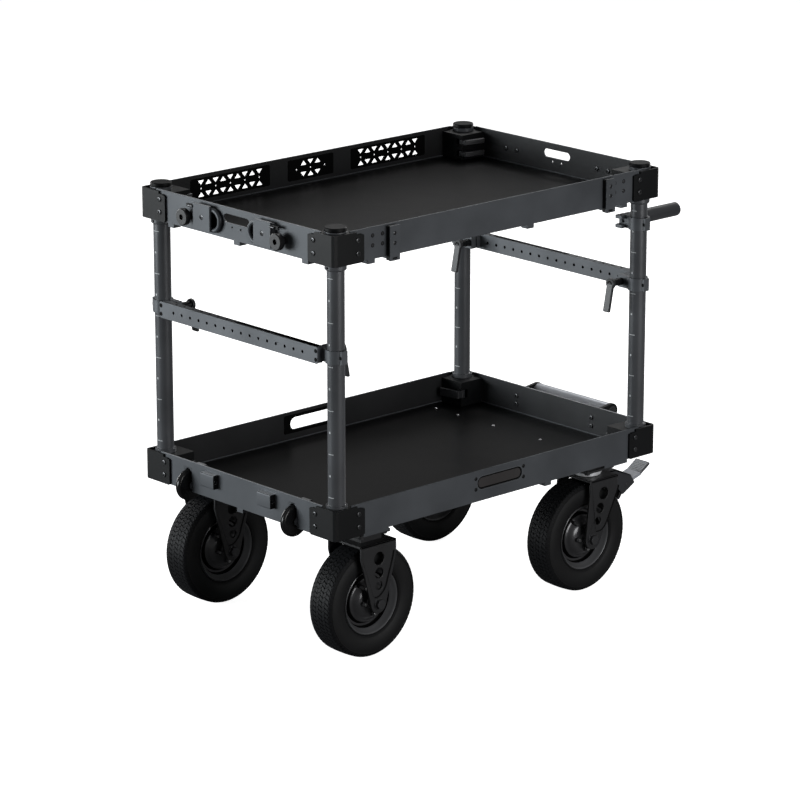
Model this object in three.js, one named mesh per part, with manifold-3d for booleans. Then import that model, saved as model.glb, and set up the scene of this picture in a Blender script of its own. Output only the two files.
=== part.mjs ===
// Camera cart: two open trays on four round posts, with crossbars, handles and four pneumatic wheels.
// Millimetres, +Z up. The front is the -X end with the rigid wheels, the near side is -Y.
// The origin lies on the ground, below the centre of the cart's overall box.

import * as THREE from "three";
import { mergeVertices } from "three/addons/utils/BufferGeometryUtils.js";
import Module from "manifold-3d";

const wasm = await Module();
wasm.setup();

// Layout of posts and trays
const POST_X = 455.5;
const POST_Y = 287;
const TRAY_OVER_BASE = 22;
const TRAY_SPACING = 599;
const POST_TOP_RISE = 79;
const FIT = 0.3;
const OVERRUN = 2;

// Posts with their collar, rings and cap
const POST_RADIUS = 19;
const POST_SEAT = 6;
const COLLAR_RADIUS = 23.5;
const COLLAR_HEIGHT = 14;
const COLLAR_CHAMFER = 3;
const RING_RADIUS = 24.5;
const BOTTOM_RING_RISE = 1.4;
const CAP_RADIUS = 24;
const CAP_HEIGHT = 7;
const CAP_CHAMFER = 1.5;
const CAP_NECK_RADIUS = 22;

// Corner blocks
const BLOCK_HEIGHT = 70;
const BLOCK_REACH = 32.5;
const BLOCK_EDGE_RADIUS = 9;
const HOUSING_INNER = 44.7;
const HOUSING_DROP = 8.4;
const EAR_LENGTH = 84;
const EAR_DROP = 3;
const EAR_NOTCH_LENGTH = 21;
const EAR_NOTCH_HEIGHT = 7;
const EAR_CORNER_RADIUS = 4;

// Tray walls and floors
const WALL_THICKNESS = 4;
const WALL_INSET = 5;
const WALL_END = 16.5;
const FLOOR_THICKNESS = 3;
const LUG_WIDTH = 20;
const LUG_HEIGHT = 9;
const LUG_DEPTH = 20;
const LONG_WALL_LUG_INSET = 60;
const LONG_WALL_LUG_OFFSET_X = 88;
const BOTTOM_LUG_X = 150;
const END_WALL_LUG_INSET = 49.5;
const LIP_LENGTH = 73;
const LIP_INSET = 89;
const LIP_HEIGHT = 8;

// Hand slots, above the bottom of their tray
const HAND_SLOT_LENGTH = 85;
const HAND_SLOT_HEIGHT = 18.7;
const HAND_SLOT_Z = 45.4;
const WALL_HOLE_RADIUS = 2.5;
const WALL_HOLE_Y = 14.3;
const WALL_HOLE_Z = 27;
const LONG_SLOT_LENGTH = 136;
const LONG_SLOT_HEIGHT = 29;
const LONG_SLOT_Z = 41;
const BEZEL_LENGTH = 173;
const BEZEL_HEIGHT = 44;
const BEZEL_PROUD = 1.5;
const COVER_GROOVE = 2;
const COVER_GROOVE_DEPTH = 0.8;

// Truss panels in the far wall of the top tray
const PANEL_HEIGHT = 48;
const PANEL_Z = 38;
const PANEL_RADIUS = 4;
const PANEL_THICKNESS = 2.5;
const PANEL_PROUD = 1;
const PANEL_SEAT = 4;
const WIDE_PANEL_LENGTH = 231;
const WIDE_PANEL_X = 238;
const WIDE_PANEL_PATTERN = { triangles: 9, screws: 5, firstUp: false };
const MIDDLE_PANEL_LENGTH = 137;
const MIDDLE_PANEL_PATTERN = { triangles: 3, screws: 3, firstUp: true };
const TRIANGLE_WIDTH = 19.5;
const TRIANGLE_HEIGHT = 11.4;
const TRIANGLE_PITCH = 21.2;
const TRIANGLE_BAND = 15.2;
const PANEL_HOLE_RADIUS = 2.2;

// Accessory plates, tie loops and bumpers on the front wall of the top tray
const PLATE_WIDTH = 56;
const PLATE_HEIGHT = 56.5;
const PLATE_Y = 100;
const PLATE_Z = 37.3;
const PLATE_PROUD = 15;
const PLATE_THICKNESS = 6;
const PLATE_RADIUS = 2;
const PLATE_BOSS_WIDTH = 42;
const TIE_LOOP_Y = 71.5;
const TIE_LOOP_Z = 34;
const TIE_LOOP_RADIUS = 22.3;
const TIE_BAR_RADIUS = 5.2;
const TIE_LOOP_PROUD = 5.5;
const PLATE_TAB_LENGTH = 23;
const PLATE_TAB_HEIGHT = 7;
const PLATE_TAB_Z = 57;
const BUMPER_Y = 154.4;
const BUMPER_Z = 30;
const BUMPER_RADIUS = 19;
const BUMPER_PROUD = 26;
const BUMPER_DISC = 12;
const BUMPER_NECK_RADIUS = 9;
const BUMPER_SOCKET_RADIUS = 6;
const BUMPER_SOCKET_DEPTH = 7;
const BUMPER_CHAMFER = 2;

// Cleats on the near wall of the top tray
const CLEAT_INSET = 132;
const CLEAT_WIDTH = 29;
const CLEAT_FROM_Z = -9;
const CLEAT_TO_Z = 67;
const CLEAT_PROUD = 12.5;
const CLEAT_THICKNESS = 3;
const CLEAT_MARGIN = 1;
const CLEAT_HOLE_RADIUS = 4.2;
const CLEAT_HOLE_Z = [28.5, 50];
const CLEAT_FOOT_HEIGHT = 5;
const CLEAT_SLOT_LENGTH = 13;
const CLEAT_SLOT_HEIGHT = 4;
const CLEAT_SLOT_Z = -4;

// Hook brackets and curb rollers in the front wall of the bottom tray
const BRACKET_FROM_Y = 73;
const BRACKET_TO_Y = 117.5;
const BRACKET_FROM_Z = 28;
const BRACKET_TO_Z = 60;
const BRACKET_PROUD = 14;
const BRACKET_RADIUS = 4;
const BRACKET_HOLE_RADIUS = 4.5;
const ROLLER_Y = 176;
const ROLLER_AXIS_INSET = 3;
const ROLLER_RISE = 14.6;
const ROLLER_RADIUS = 36;
const ROLLER_WIDTH = 18;
const ROLLER_GROOVE_WIDTH = 6;
const ROLLER_GROOVE_DEPTH = 3;
const ROLLER_AXLE_RADIUS = 4;
const ROLLER_CLEARANCE = 2;
const ROLLER_SHELL = 2.5;
const ROLLER_NOSE_RADIUS = 9;
const ROLLER_BOSS_RADIUS = 7;

// Cam levers in the corner blocks, above the bottom of their block
const CAM_POCKET = 21;
const CAM_PIVOT_INSET = 9.5;
const CAM_HEAD_RADIUS = 8.5;
const CAM_PIN_RADIUS = 3;
const CAM_ARM_LENGTH = 47;
const CAM_ARM_THICKNESS = 7;
const CAM_ARM_STANDOFF = 1.5;
const CAM_ARM_FLARE = 9;
const CAM_SLOT_CLEARANCE = 1;
const TOP_CAM_HEIGHT = 11;
const TOP_CAM_LEVELS = [17, 45];
const BOTTOM_CAM_HEIGHT = 19;
const BOTTOM_CAM_LEVELS = [32.5];

// Crossbars and the split clamps that hold them
const CROSSBAR_DROP = 200;
const CROSSBAR_REACH = 30.5;
const CROSSBAR_DEPTH = 18;
const CROSSBAR_HEIGHT = 37;
const CROSSBAR_END_INSET = 25;
const CROSSBAR_WALL = 3;
const CROSSBAR_END_RADIUS = 4.5;
const CROSSBAR_END_BLOCK = 26;
const CROSSBAR_HOLES = 16;
const CROSSBAR_HOLE_MARGIN = 47.5;
const CROSSBAR_HOLE_RADIUS = 3;
const CLAMP_RADIUS = 23;
const CLAMP_HEIGHT = 29;
const CLAMP_SPLIT = 3;
const CLAMP_BOLT_INSET = 37;
const CLAMP_EAR_HALF = 10;
const CLAMP_EAR_REACH = 15.5;
const CLAMP_BOLT_RADIUS = 4;

// Hanging ratchet levers of the crossbar clamps
const LEVER_HUB_LENGTH = 37;
const LEVER_HUB_RADIUS = 8.5;
const LEVER_HUB_END_RADIUS = 11;
const LEVER_ARM_LENGTH = 64;
const LEVER_ARM_WIDTH = 18;
const LEVER_ARM_THICKNESS = 7.5;
const LEVER_LEAN_DEG = 11;

// Push handles on the rear posts
const HANDLE_DROP = 60;
const HANDLE_REACH = 163;
const HANDLE_RADIUS = 16;
const HANDLE_END_RADIUS = 6;
const HANDLE_FORK_REACH = 27.5;
const HANDLE_FORK_GAP = 13;
const HANDLE_FORK_ROOT = 13;
const HANDLE_STUB_END = 21;

// Grab handle on the rear wall of the bottom tray
const GRAB_RISE = 45.5;
const GRAB_REACH = 62;
const GRAB_RADIUS = 16.5;
const GRAB_ARM_FROM_Y = 118;
const GRAB_ARM_TO_Y = 127;
const GRAB_ARM_RADIUS = 18;
const GRAB_FOOT_FROM_RISE = 10;
const GRAB_FOOT_TO_RISE = 56;

// Wheels
const WHEEL_RADIUS = 127;
const WHEEL_INSET_Y = 43;
const TYRE_HALF_WIDTH = 37;
const TYRE_BULGE_DROP = 29;
const TREAD_HALF_WIDTH = 26;
const SHOULDER_DROP = 8;
const RIM_DROP = 51;
const RIM_BARREL_DROP = 12;
const RIM_HALF_WIDTH = 31;
const RIM_FLANGE = 4;
const RIM_WALL = 3.5;
const RIM_DISC_HALF = 8;
const RIM_DISH_DROP = 22;
const HUB_RADIUS = 20;
const HUB_HALF_LENGTH = 48;
const HUB_CHAMFER = 5;
const AXLE_RADIUS = 6;
const AXLE_HEAD_RADIUS = 10;
const AXLE_HEAD_HEIGHT = 7;

// Forks, swivel heads and their plates
const RIGID_WHEEL_INSET = 110.5;
const SWIVEL_INSET = 110.5;
const TRAIL = 35;
const BASE_WIDTH = 90;
const BASE_THICKNESS = 6;
const PAD_WIDTH = 80;
const CROWN_CLEARANCE = 6;
const CROWN_THICKNESS = 5;
const RACE_DEPTH = 20;
const FORK_REACH = 54.5;
const FORK_THICKNESS = 5;
const RIGID_PLATE_HALF = 51;
const RIGID_SHOULDER_DROP = 24;
const RIGID_FOOT_RADIUS = 22;
const RIGID_SPACER = 60;
const RACE_RADIUS = 31;
const RACE_CHAMFER = 3;
const KINGPIN_RADIUS = 7;
const KINGPIN_NUT_RADIUS = 12;
const KINGPIN_NUT_HEIGHT = 4;
const SWIVEL_PLATE_FRONT = 41;
const SWIVEL_PLATE_REAR = 47;
const SWIVEL_SHOULDER_REAR = 43;
const SWIVEL_SHOULDER_DROP = 14;
const SWIVEL_FOOT_RADIUS = 24;
const SWIVEL_FOOT_OFFSET = 3.5;
const PLATE_HOLE_RADII = [14.7, 12.1, 9.6];
const PLATE_HOLE_DROPS = [30, 63, 92];
const SWIVEL_HOLE_OFFSETS = [-1, -12, -18];

// Brake on each swivel fork: points as rise over the tread and turn about the axle, from behind it
const BRAKE_CHEEK_Y = 21;
const BRAKE_CHEEK_THICKNESS = 4;
const BRAKE_PIN_RADIUS = 4;
const BRAKE_PIVOT_RISE = 42.19;
const BRAKE_PIVOT_TURN_DEG = 34.16;
const BRAKE_TIP_RISE = 64.64;
const BRAKE_TIP_TURN_DEG = 29.38;
const BRAKE_TOP_RISE = 65;
const BRAKE_TOP_TURN_DEG = 37.17;
const BRAKE_HEEL_RISE = 20.35;
const BRAKE_HEEL_TURN_DEG = 29.7;
const BRAKE_NECK_RISE = 18.09;
const BRAKE_NECK_TURN_DEG = 51.16;
const BRAKE_NECK_TOP = 70;
const BRAKE_SHOE_LENGTH = 36;
const BRAKE_SHOE_TURN_DEG = 234;
const BRAKE_ARM_THICKNESS = 8;
const PEDAL_START = [48, 14];
const PEDAL_END = [79, 34];
const PEDAL_WIDTH = 43;
const PEDAL_THICKNESS = 5;

// Facets
const ARC_STEP = Math.PI / 4;
const SMALL_ARC_STEP = Math.PI / 2;
const SMALL_ARC_RADIUS = 5;
const POST_SIDES = 12;
const WHEEL_SIDES = 20;
const SMALL_SIDES = 8;
const HOLE_SIDES = 6;
const HEX_SIDES = 6;
const SCREW_HOLE_SIDES = 4;
const ROLLER_SIDES = 16;
const TORUS_STEPS = 12;
const TORUS_SIDES = 5;

// Values that follow from the sizes above
const CROWN_BOTTOM_Z = 2 * WHEEL_RADIUS + CROWN_CLEARANCE;
const BASE_BOTTOM_Z = CROWN_BOTTOM_Z + RACE_DEPTH;
const BOTTOM_TRAY_Z = BASE_BOTTOM_Z + TRAY_OVER_BASE;
const TOP_TRAY_Z = BOTTOM_TRAY_Z + TRAY_SPACING;
const CART_TOP_Z = TOP_TRAY_Z + POST_TOP_RISE;
const ROLLER_Z = BOTTOM_TRAY_Z + ROLLER_RISE;
const CROSSBAR_Z = TOP_TRAY_Z - CROSSBAR_DROP;
const HANDLE_Z = TOP_TRAY_Z - HANDLE_DROP;
const GRAB_Z = BOTTOM_TRAY_Z + GRAB_RISE;
const CROSSBAR_LENGTH = 2 * (POST_Y - CROSSBAR_END_INSET);
const CROSSBAR_HOLE_PITCH = (CROSSBAR_LENGTH - 2 * CROSSBAR_HOLE_MARGIN) / (CROSSBAR_HOLES - 1);
const CLAMP_BOLT_Y = POST_Y - CLAMP_BOLT_INSET;
const RIM_RADIUS = WHEEL_RADIUS - RIM_DROP;
const RIM_BARREL_RADIUS = RIM_RADIUS - RIM_BARREL_DROP;
const RIM_DISH_OUTER_RADIUS = RIM_RADIUS - RIM_DISH_DROP;
const BRAKE_PIVOT = brakePoint(BRAKE_PIVOT_RISE, BRAKE_PIVOT_TURN_DEG);
const WALL_FACE_X = POST_X + BLOCK_REACH - WALL_INSET;
const WALL_FACE_Y = POST_Y + BLOCK_REACH - WALL_INSET;
const WALL_BACK_X = WALL_FACE_X - WALL_THICKNESS;
const WALL_BACK_Y = WALL_FACE_Y - WALL_THICKNESS;
const WALL_END_X = POST_X - WALL_END;
const WALL_END_Y = POST_Y - WALL_END;
const LONG_WALL_LUG_X = WALL_END_X - LONG_WALL_LUG_INSET;
const END_WALL_LUG_Y = WALL_END_Y - END_WALL_LUG_INSET;
const CLEAT_X = POST_X - CLEAT_INSET;
const LIP_X = POST_X - LIP_INSET;
const WHEEL_Y = POST_Y - WHEEL_INSET_Y;
const RIGID_WHEEL_X = POST_X - RIGID_WHEEL_INSET;
const SWIVEL_X = POST_X - SWIVEL_INSET;
const EAR_THICKNESS = WALL_INSET - FIT;
const HOUSING_HEIGHT = BLOCK_HEIGHT - HOUSING_DROP;
const ROLLER_X = WALL_FACE_X - ROLLER_AXIS_INSET;
const CAM_PIVOT = HOUSING_INNER - CAM_PIVOT_INSET;
const PAD_TOP_Z = BOTTOM_TRAY_Z - FIT;
const FRONT_REACH = ROLLER_X + ROLLER_RADIUS;
const REAR_REACH = POST_X + HANDLE_REACH;
const NEAR_REACH = WALL_FACE_Y + CLEAT_PROUD;
const FAR_REACH = POST_Y + BLOCK_REACH;
const CHASSIS_X = (FRONT_REACH - REAR_REACH) / 2;
const CHASSIS_Y = (NEAR_REACH - FAR_REACH) / 2;

// Solids from geometry and back
function toSolid(geometry) {
  const bare = geometry.clone();
  bare.deleteAttribute("normal");
  bare.deleteAttribute("uv");
  const merged = mergeVertices(bare);
  const vertProperties = new Float32Array(merged.attributes.position.array);
  const triVerts = new Uint32Array(merged.index.array);
  return new wasm.Manifold(new wasm.Mesh({ numProp: 3, vertProperties, triVerts }));
}

function toGeometry(solid) {
  const mesh = solid.getMesh();
  const geometry = new THREE.BufferGeometry();
  geometry.setAttribute("position", new THREE.BufferAttribute(mesh.vertProperties, mesh.numProp));
  geometry.setIndex(new THREE.BufferAttribute(mesh.triVerts, 1));
  geometry.computeVertexNormals();
  return geometry;
}

function join(...shapes) {
  return toGeometry(shapes.map(toSolid).reduce((whole, next) => whole.add(next)));
}

function cut(body, ...tools) {
  return toGeometry(tools.map(toSolid).reduce((whole, tool) => whole.subtract(tool), toSolid(body)));
}

// Two places, half a size to each side of a middle
function around(middle, size) {
  return [middle - size / 2, middle + size / 2];
}

// Places of a row with a steady pitch, centred on the middle
function row(count, middle, pitch) {
  return Array.from({ length: count }, (_, i) => middle + (i - (count - 1) / 2) * pitch);
}

// The same stretch on the other side of zero, still from low to high
function opposite([low, high]) {
  return [-high, -low];
}

// A span given for the positive side, on the side of a sign
function onSide(side, span) {
  return side > 0 ? span : opposite(span);
}

function box([x0, x1], [y0, y1], [z0, z1]) {
  const shape = new THREE.BoxGeometry(x1 - x0, y1 - y0, z1 - z0);
  return shape.translate((x0 + x1) / 2, (y0 + y1) / 2, (z0 + z1) / 2);
}

// A point from its place along one axis and its two other coordinates
function place(axis, along, [a, b]) {
  return { x: [along, a, b], y: [a, along, b], z: [a, b, along] }[axis];
}

// Turns a shape whose axis is +Y so that its axis is the named one
function turnFromY(shape, axis) {
  if (axis === "x") shape.rotateZ(-Math.PI / 2);
  if (axis === "z") shape.rotateX(Math.PI / 2);
  return shape;
}

function rod(axis, radius, [from, to], at, sides = SMALL_SIDES, endRadius = radius) {
  const shape = turnFromY(new THREE.CylinderGeometry(endRadius, radius, to - from, sides), axis);
  return shape.translate(...place(axis, (from + to) / 2, at));
}

// Radius of a faceted hole whose flats clear a round pin of the given radius
function boreRadius(pin, sides) {
  return (pin + FIT) / Math.cos(Math.PI / sides);
}

// A profile of [radius, place along the axis] turned about the named axis
function turned(axis, profile, sides) {
  const points = profile.map(([radius, along]) => new THREE.Vector2(radius, along));
  return turnFromY(new THREE.LatheGeometry(points, sides), axis);
}

// A flat outline given thickness along one axis; its two directions are the other axes in order
function slab(axis, outline, [from, to], holes = []) {
  const face = new THREE.Shape(outline);
  face.holes = holes.map((hole) => new THREE.Path(hole));
  const shape = new THREE.ExtrudeGeometry(face, { depth: to - from, bevelEnabled: false });
  if (axis === "z") return shape.translate(0, 0, from);
  if (axis === "y") return shape.rotateX(Math.PI / 2).translate(0, to, 0);
  return shape.rotateX(Math.PI / 2).rotateZ(Math.PI / 2).translate(from, 0, 0);
}

function mirrored(shape, x, y) {
  const copy = shape.clone();
  copy.applyMatrix4(new THREE.Matrix4().makeScale(x, y, 1));
  if (x * y > 0) return copy;
  const index = copy.index.array;
  for (let i = 0; i < index.length; i += 3) [index[i], index[i + 1]] = [index[i + 1], index[i]];
  copy.computeVertexNormals();
  return copy;
}

// Outlines
function arcPoints([u, v], radius, start, end) {
  const step = radius < SMALL_ARC_RADIUS ? SMALL_ARC_STEP : ARC_STEP;
  const steps = Math.max(1, Math.ceil(Math.abs(end - start) / step));
  return Array.from({ length: steps + 1 }, (_, i) => {
    const angle = start + ((end - start) * i) / steps;
    return new THREE.Vector2(u + radius * Math.cos(angle), v + radius * Math.sin(angle));
  });
}

// A closed outline from corners [u, v, radius], each rounded by an arc of its radius
function rounded(corners) {
  return corners.flatMap(([u, v, radius], i) => {
    const corner = new THREE.Vector2(u, v);
    if (!radius) return [corner];
    const [before, after] = [corners.at(i - 1), corners[(i + 1) % corners.length]].map(([pu, pv]) =>
      new THREE.Vector2(pu, pv).sub(corner).normalize()
    );
    const half = Math.acos(before.dot(after)) / 2;
    const centre = before.clone().add(after).setLength(radius / Math.sin(half)).add(corner);
    const setback = radius / Math.tan(half);
    const [start, end] = [before, after].map((way) =>
      way.clone().multiplyScalar(setback).add(corner).sub(centre).angle()
    );
    const sweep = Math.atan2(Math.sin(end - start), Math.cos(end - start));
    return arcPoints([centre.x, centre.y], radius, start, start + sweep);
  });
}

function rectangle([u0, u1], [v0, v1], radius = 0) {
  return rounded([[u0, v0, radius], [u1, v0, radius], [u1, v1, radius], [u0, v1, radius]]);
}

// A slot with half-round ends
function pill(u, v, length, height) {
  const reach = (length - height) / 2;
  const quarter = Math.PI / 2;
  return [
    ...arcPoints([u + reach, v], height / 2, -quarter, quarter),
    ...arcPoints([u - reach, v], height / 2, quarter, 3 * quarter),
  ];
}

function circle(u, v, radius, sides = HOLE_SIDES) {
  return Array.from({ length: sides }, (_, i) => {
    const angle = ((i + 1 / 2) / sides) * 2 * Math.PI;
    return new THREE.Vector2(u + radius * Math.cos(angle), v + radius * Math.sin(angle));
  });
}

// Materials
function finish(color, roughness, metalness) {
  return () => new THREE.MeshStandardMaterial({ color, roughness, metalness });
}

const wallFinish = finish(0x3a3b3e, 0.5, 0.4);
const floorFinish = finish(0x161617, 0.45, 0.2);
const blockFinish = finish(0x202123, 0.55, 0.3);
const postFinish = finish(0x4b4c50, 0.4, 0.7);
const barFinish = finish(0x2f3033, 0.45, 0.5);
const leverFinish = finish(0x8a8c90, 0.35, 0.8);
const rubberFinish = finish(0x19191b, 0.85, 0);
const rimFinish = finish(0x222225, 0.5, 0.3);
const forkFinish = finish(0x1d1d1f, 0.5, 0.4);
const zincFinish = finish(0x9a9c9f, 0.35, 0.9);

// The cart, shifted so that the origin is below the centre of its box
const cart = new THREE.Group();
const chassis = new THREE.Group();
chassis.position.set(CHASSIS_X, CHASSIS_Y, 0);
cart.add(chassis);

function addPart(name, shape, material, [x, y, z] = [0, 0, 0], turn = 0) {
  const mesh = new THREE.Mesh(shape, material());
  mesh.name = name;
  mesh.position.set(x, y, z);
  mesh.rotation.z = turn;
  chassis.add(mesh);
}

// The four corners, each a quarter turn on from the rear far one
const CORNERS = [
  { name: "rear_far", x: 1, y: 1 },
  { name: "front_far", x: -1, y: 1 },
  { name: "front_near", x: -1, y: -1 },
  { name: "rear_near", x: 1, y: -1 },
];
const SIDES = [
  { name: "near", y: -1 },
  { name: "far", y: 1 },
];

// Post, turned about its own axis, with heights from the ground
function postShape() {
  const foot = BOTTOM_TRAY_Z + POST_SEAT + FIT;
  const bottomRing = BOTTOM_TRAY_Z + HOUSING_HEIGHT + FIT;
  const bottomRingTop = BOTTOM_TRAY_Z + BLOCK_HEIGHT + BOTTOM_RING_RISE;
  const collarTop = TOP_TRAY_Z - FIT;
  const collarFoot = collarTop - COLLAR_HEIGHT;
  const topRing = TOP_TRAY_Z + HOUSING_HEIGHT + FIT;
  const topRingTop = TOP_TRAY_Z + BLOCK_HEIGHT;
  const capFoot = CART_TOP_Z - CAP_HEIGHT;
  return turned("z", [
    [0, foot],
    [POST_RADIUS, foot],
    [POST_RADIUS, bottomRing],
    [COLLAR_RADIUS, bottomRing],
    [COLLAR_RADIUS, bottomRingTop],
    [POST_RADIUS, bottomRingTop],
    [POST_RADIUS, collarFoot],
    [COLLAR_RADIUS - COLLAR_CHAMFER, collarFoot],
    [COLLAR_RADIUS, collarFoot + COLLAR_CHAMFER],
    [COLLAR_RADIUS, collarTop],
    [POST_RADIUS, collarTop],
    [POST_RADIUS, topRing],
    [RING_RADIUS, topRing],
    [RING_RADIUS, topRingTop],
    [CAP_NECK_RADIUS, topRingTop],
    [CAP_NECK_RADIUS, capFoot],
    [CAP_RADIUS, capFoot],
    [CAP_RADIUS, CART_TOP_Z - CAP_CHAMFER],
    [CAP_RADIUS - CAP_CHAMFER, CART_TOP_Z],
    [0, CART_TOP_Z],
  ], POST_SIDES);
}

// Corner block for the rear far corner, about the post axis, with heights from its own bottom
function cornerBlock(boreFrom, camLevels, camHeight) {
  const end = BLOCK_REACH - EAR_LENGTH;
  const earTop = BLOCK_HEIGHT - EAR_DROP;
  const notchZ = earTop - EAR_NOTCH_HEIGHT;
  const earBack = BLOCK_REACH - EAR_THICKNESS;
  const bend = BLOCK_REACH - BLOCK_EDGE_RADIUS;
  const inner = -HOUSING_INNER;
  const housing = slab("z", rounded([
    [inner, inner, 0],
    [BLOCK_REACH, inner, 0],
    [BLOCK_REACH, BLOCK_REACH, BLOCK_EDGE_RADIUS],
    [inner, BLOCK_REACH, 0],
  ]), [0, HOUSING_HEIGHT]);
  const edge = slab("z", rounded([
    [BLOCK_REACH, bend - EAR_THICKNESS, 0],
    [BLOCK_REACH, BLOCK_REACH, BLOCK_EDGE_RADIUS],
    [bend - EAR_THICKNESS, BLOCK_REACH, 0],
    [bend - EAR_THICKNESS, earBack, 0],
    [earBack, earBack, BLOCK_EDGE_RADIUS - EAR_THICKNESS],
    [earBack, bend - EAR_THICKNESS, 0],
  ]), [0, earTop]);
  const ear = rounded([
    [end, 0, EAR_CORNER_RADIUS],
    [bend, 0, 0],
    [bend, earTop, 0],
    [end + EAR_NOTCH_LENGTH, earTop, 0],
    [end + EAR_NOTCH_LENGTH, notchZ, 0],
    [end, notchZ, EAR_CORNER_RADIUS / 2],
  ]);
  const body = join(
    housing,
    edge,
    slab("y", ear, [earBack, BLOCK_REACH]),
    slab("x", ear, [earBack, BLOCK_REACH])
  );
  const slotAcross = [earBack - FIT - WALL_THICKNESS - FIT, earBack];
  const slotAlong = [inner - OVERRUN, -WALL_END + FIT];
  const allHeights = [-OVERRUN, BLOCK_HEIGHT + OVERRUN];
  const pocket = [inner - OVERRUN, inner + CAM_POCKET];
  const pockets = camLevels.map((level) =>
    box(pocket, pocket, around(level, camHeight + 2 * CAM_SLOT_CLEARANCE))
  );
  const pinTop = Math.max(...camLevels) + camHeight / 2 + CAM_PIN_RADIUS;
  const pinFoot = Math.min(...camLevels) - camHeight / 2 - CAM_PIN_RADIUS;
  const pinHole = rod("z", boreRadius(CAM_PIN_RADIUS, HOLE_SIDES), [pinFoot - FIT, pinTop + FIT],
    [-CAM_PIVOT, -CAM_PIVOT], HOLE_SIDES);
  const boreSpan = [boreFrom, BLOCK_HEIGHT + OVERRUN];
  const bore = rod("z", boreRadius(POST_RADIUS, POST_SIDES), boreSpan, [0, 0], POST_SIDES);
  const slots = [box(slotAlong, slotAcross, allHeights), box(slotAcross, slotAlong, allHeights)];
  return cut(body, ...slots, bore, pinHole, ...pockets);
}

// Cam levers on one pin, about the pivot, lying along the +X way
function camLever(levels, height) {
  const back = -(CAM_PIVOT_INSET + CAM_ARM_STANDOFF);
  const front = back - CAM_ARM_THICKNESS;
  const root = -CAM_HEAD_RADIUS + CAM_ARM_STANDOFF;
  const arm = rounded([
    [root, 0, 0],
    [root, front, CAM_ARM_THICKNESS / 2],
    [CAM_ARM_LENGTH, front - CAM_ARM_FLARE, CAM_ARM_THICKNESS / 3],
    [CAM_ARM_LENGTH, back - CAM_ARM_FLARE, CAM_ARM_THICKNESS / 3],
    [CAM_HEAD_RADIUS / 2, back, CAM_ARM_THICKNESS / 2],
    [CAM_HEAD_RADIUS / 2, 0, 0],
  ]);
  const levers = levels.flatMap((level) => [
    rod("z", CAM_HEAD_RADIUS, around(level, height), [0, 0], SMALL_SIDES),
    slab("z", arm, around(level, height)),
  ]);
  const pinTop = Math.max(...levels) + height / 2 + CAM_PIN_RADIUS;
  const pinFoot = Math.min(...levels) - height / 2 - CAM_PIN_RADIUS;
  return join(...levers, rod("z", CAM_PIN_RADIUS, [pinFoot, pinTop], [0, 0], HOLE_SIDES));
}

function addCorners() {
  const topBlock = cornerBlock(-OVERRUN, TOP_CAM_LEVELS, TOP_CAM_HEIGHT);
  const bottomBlock = cornerBlock(POST_SEAT, BOTTOM_CAM_LEVELS, BOTTOM_CAM_HEIGHT);
  const topLever = camLever(TOP_CAM_LEVELS, TOP_CAM_HEIGHT);
  const bottomLever = mirrored(camLever(BOTTOM_CAM_LEVELS, BOTTOM_CAM_HEIGHT), -1, 1);
  bottomLever.rotateZ(-Math.PI / 2);
  CORNERS.forEach(({ name, x, y }, quarter) => {
    const turn = (quarter * Math.PI) / 2;
    const pivot = [x * (POST_X - CAM_PIVOT), y * (POST_Y - CAM_PIVOT)];
    addPart(`post_${name}`, postShape(), postFinish, [x * POST_X, y * POST_Y, 0]);
    addPart(`top_corner_${name}`, topBlock, blockFinish, [x * POST_X, y * POST_Y, TOP_TRAY_Z], turn);
    addPart(`bottom_corner_${name}`, bottomBlock, blockFinish, [x * POST_X, y * POST_Y, BOTTOM_TRAY_Z], turn);
    addPart(`top_cam_lever_${name}`, topLever, leverFinish, [...pivot, TOP_TRAY_Z], turn);
    addPart(`bottom_cam_lever_${name}`, bottomLever, leverFinish, [...pivot, BOTTOM_TRAY_Z], turn);
  });
}

// Floor sheet, notched round the four housings and at given cut-outs along its front edge
function trayFloor(frontNotches) {
  const x = WALL_BACK_X - FIT;
  const y = WALL_BACK_Y - FIT;
  const notchX = POST_X - HOUSING_INNER - FIT;
  const notchY = POST_Y - HOUSING_INNER - FIT;
  const sheet = slab("z", rounded([
    [-notchX, -y], [notchX, -y], [notchX, -notchY], [x, -notchY], [x, notchY], [notchX, notchY],
    [notchX, y], [-notchX, y], [-notchX, notchY], [-x, notchY], [-x, -notchY], [-notchX, -notchY],
  ]), [0, FLOOR_THICKNESS]);
  return frontNotches.length ? cut(sheet, ...frontNotches) : sheet;
}

// Lug under an end wall or a long wall, in the wall's own place, with heights from the tray bottom
function endWallLug(side, y) {
  const wall = onSide(side, [WALL_BACK_X, WALL_FACE_X]);
  const lug = onSide(side, [WALL_FACE_X - LUG_DEPTH, WALL_FACE_X]);
  return join(
    box(lug, around(y, LUG_WIDTH), [-LUG_HEIGHT, -FIT]),
    box(wall, around(y, LUG_WIDTH), [-LUG_HEIGHT, OVERRUN])
  );
}

function longWallLug(side, x, width = LUG_WIDTH, height = LUG_HEIGHT, depth = LUG_DEPTH) {
  const wall = onSide(side, [WALL_BACK_Y, WALL_FACE_Y]);
  const lug = onSide(side, [WALL_FACE_Y - depth, WALL_FACE_Y]);
  return join(
    box(around(x, width), lug, [-height, -FIT]),
    box(around(x, width), wall, [-height, OVERRUN])
  );
}

// Plain wall plates: side is the sign of the face that they close
function endWall(side, holes) {
  const outline = rectangle([-WALL_END_Y, WALL_END_Y], [0, BLOCK_HEIGHT]);
  const across = onSide(side, [WALL_BACK_X, WALL_FACE_X]);
  return slab("x", outline, across, holes);
}

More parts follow.
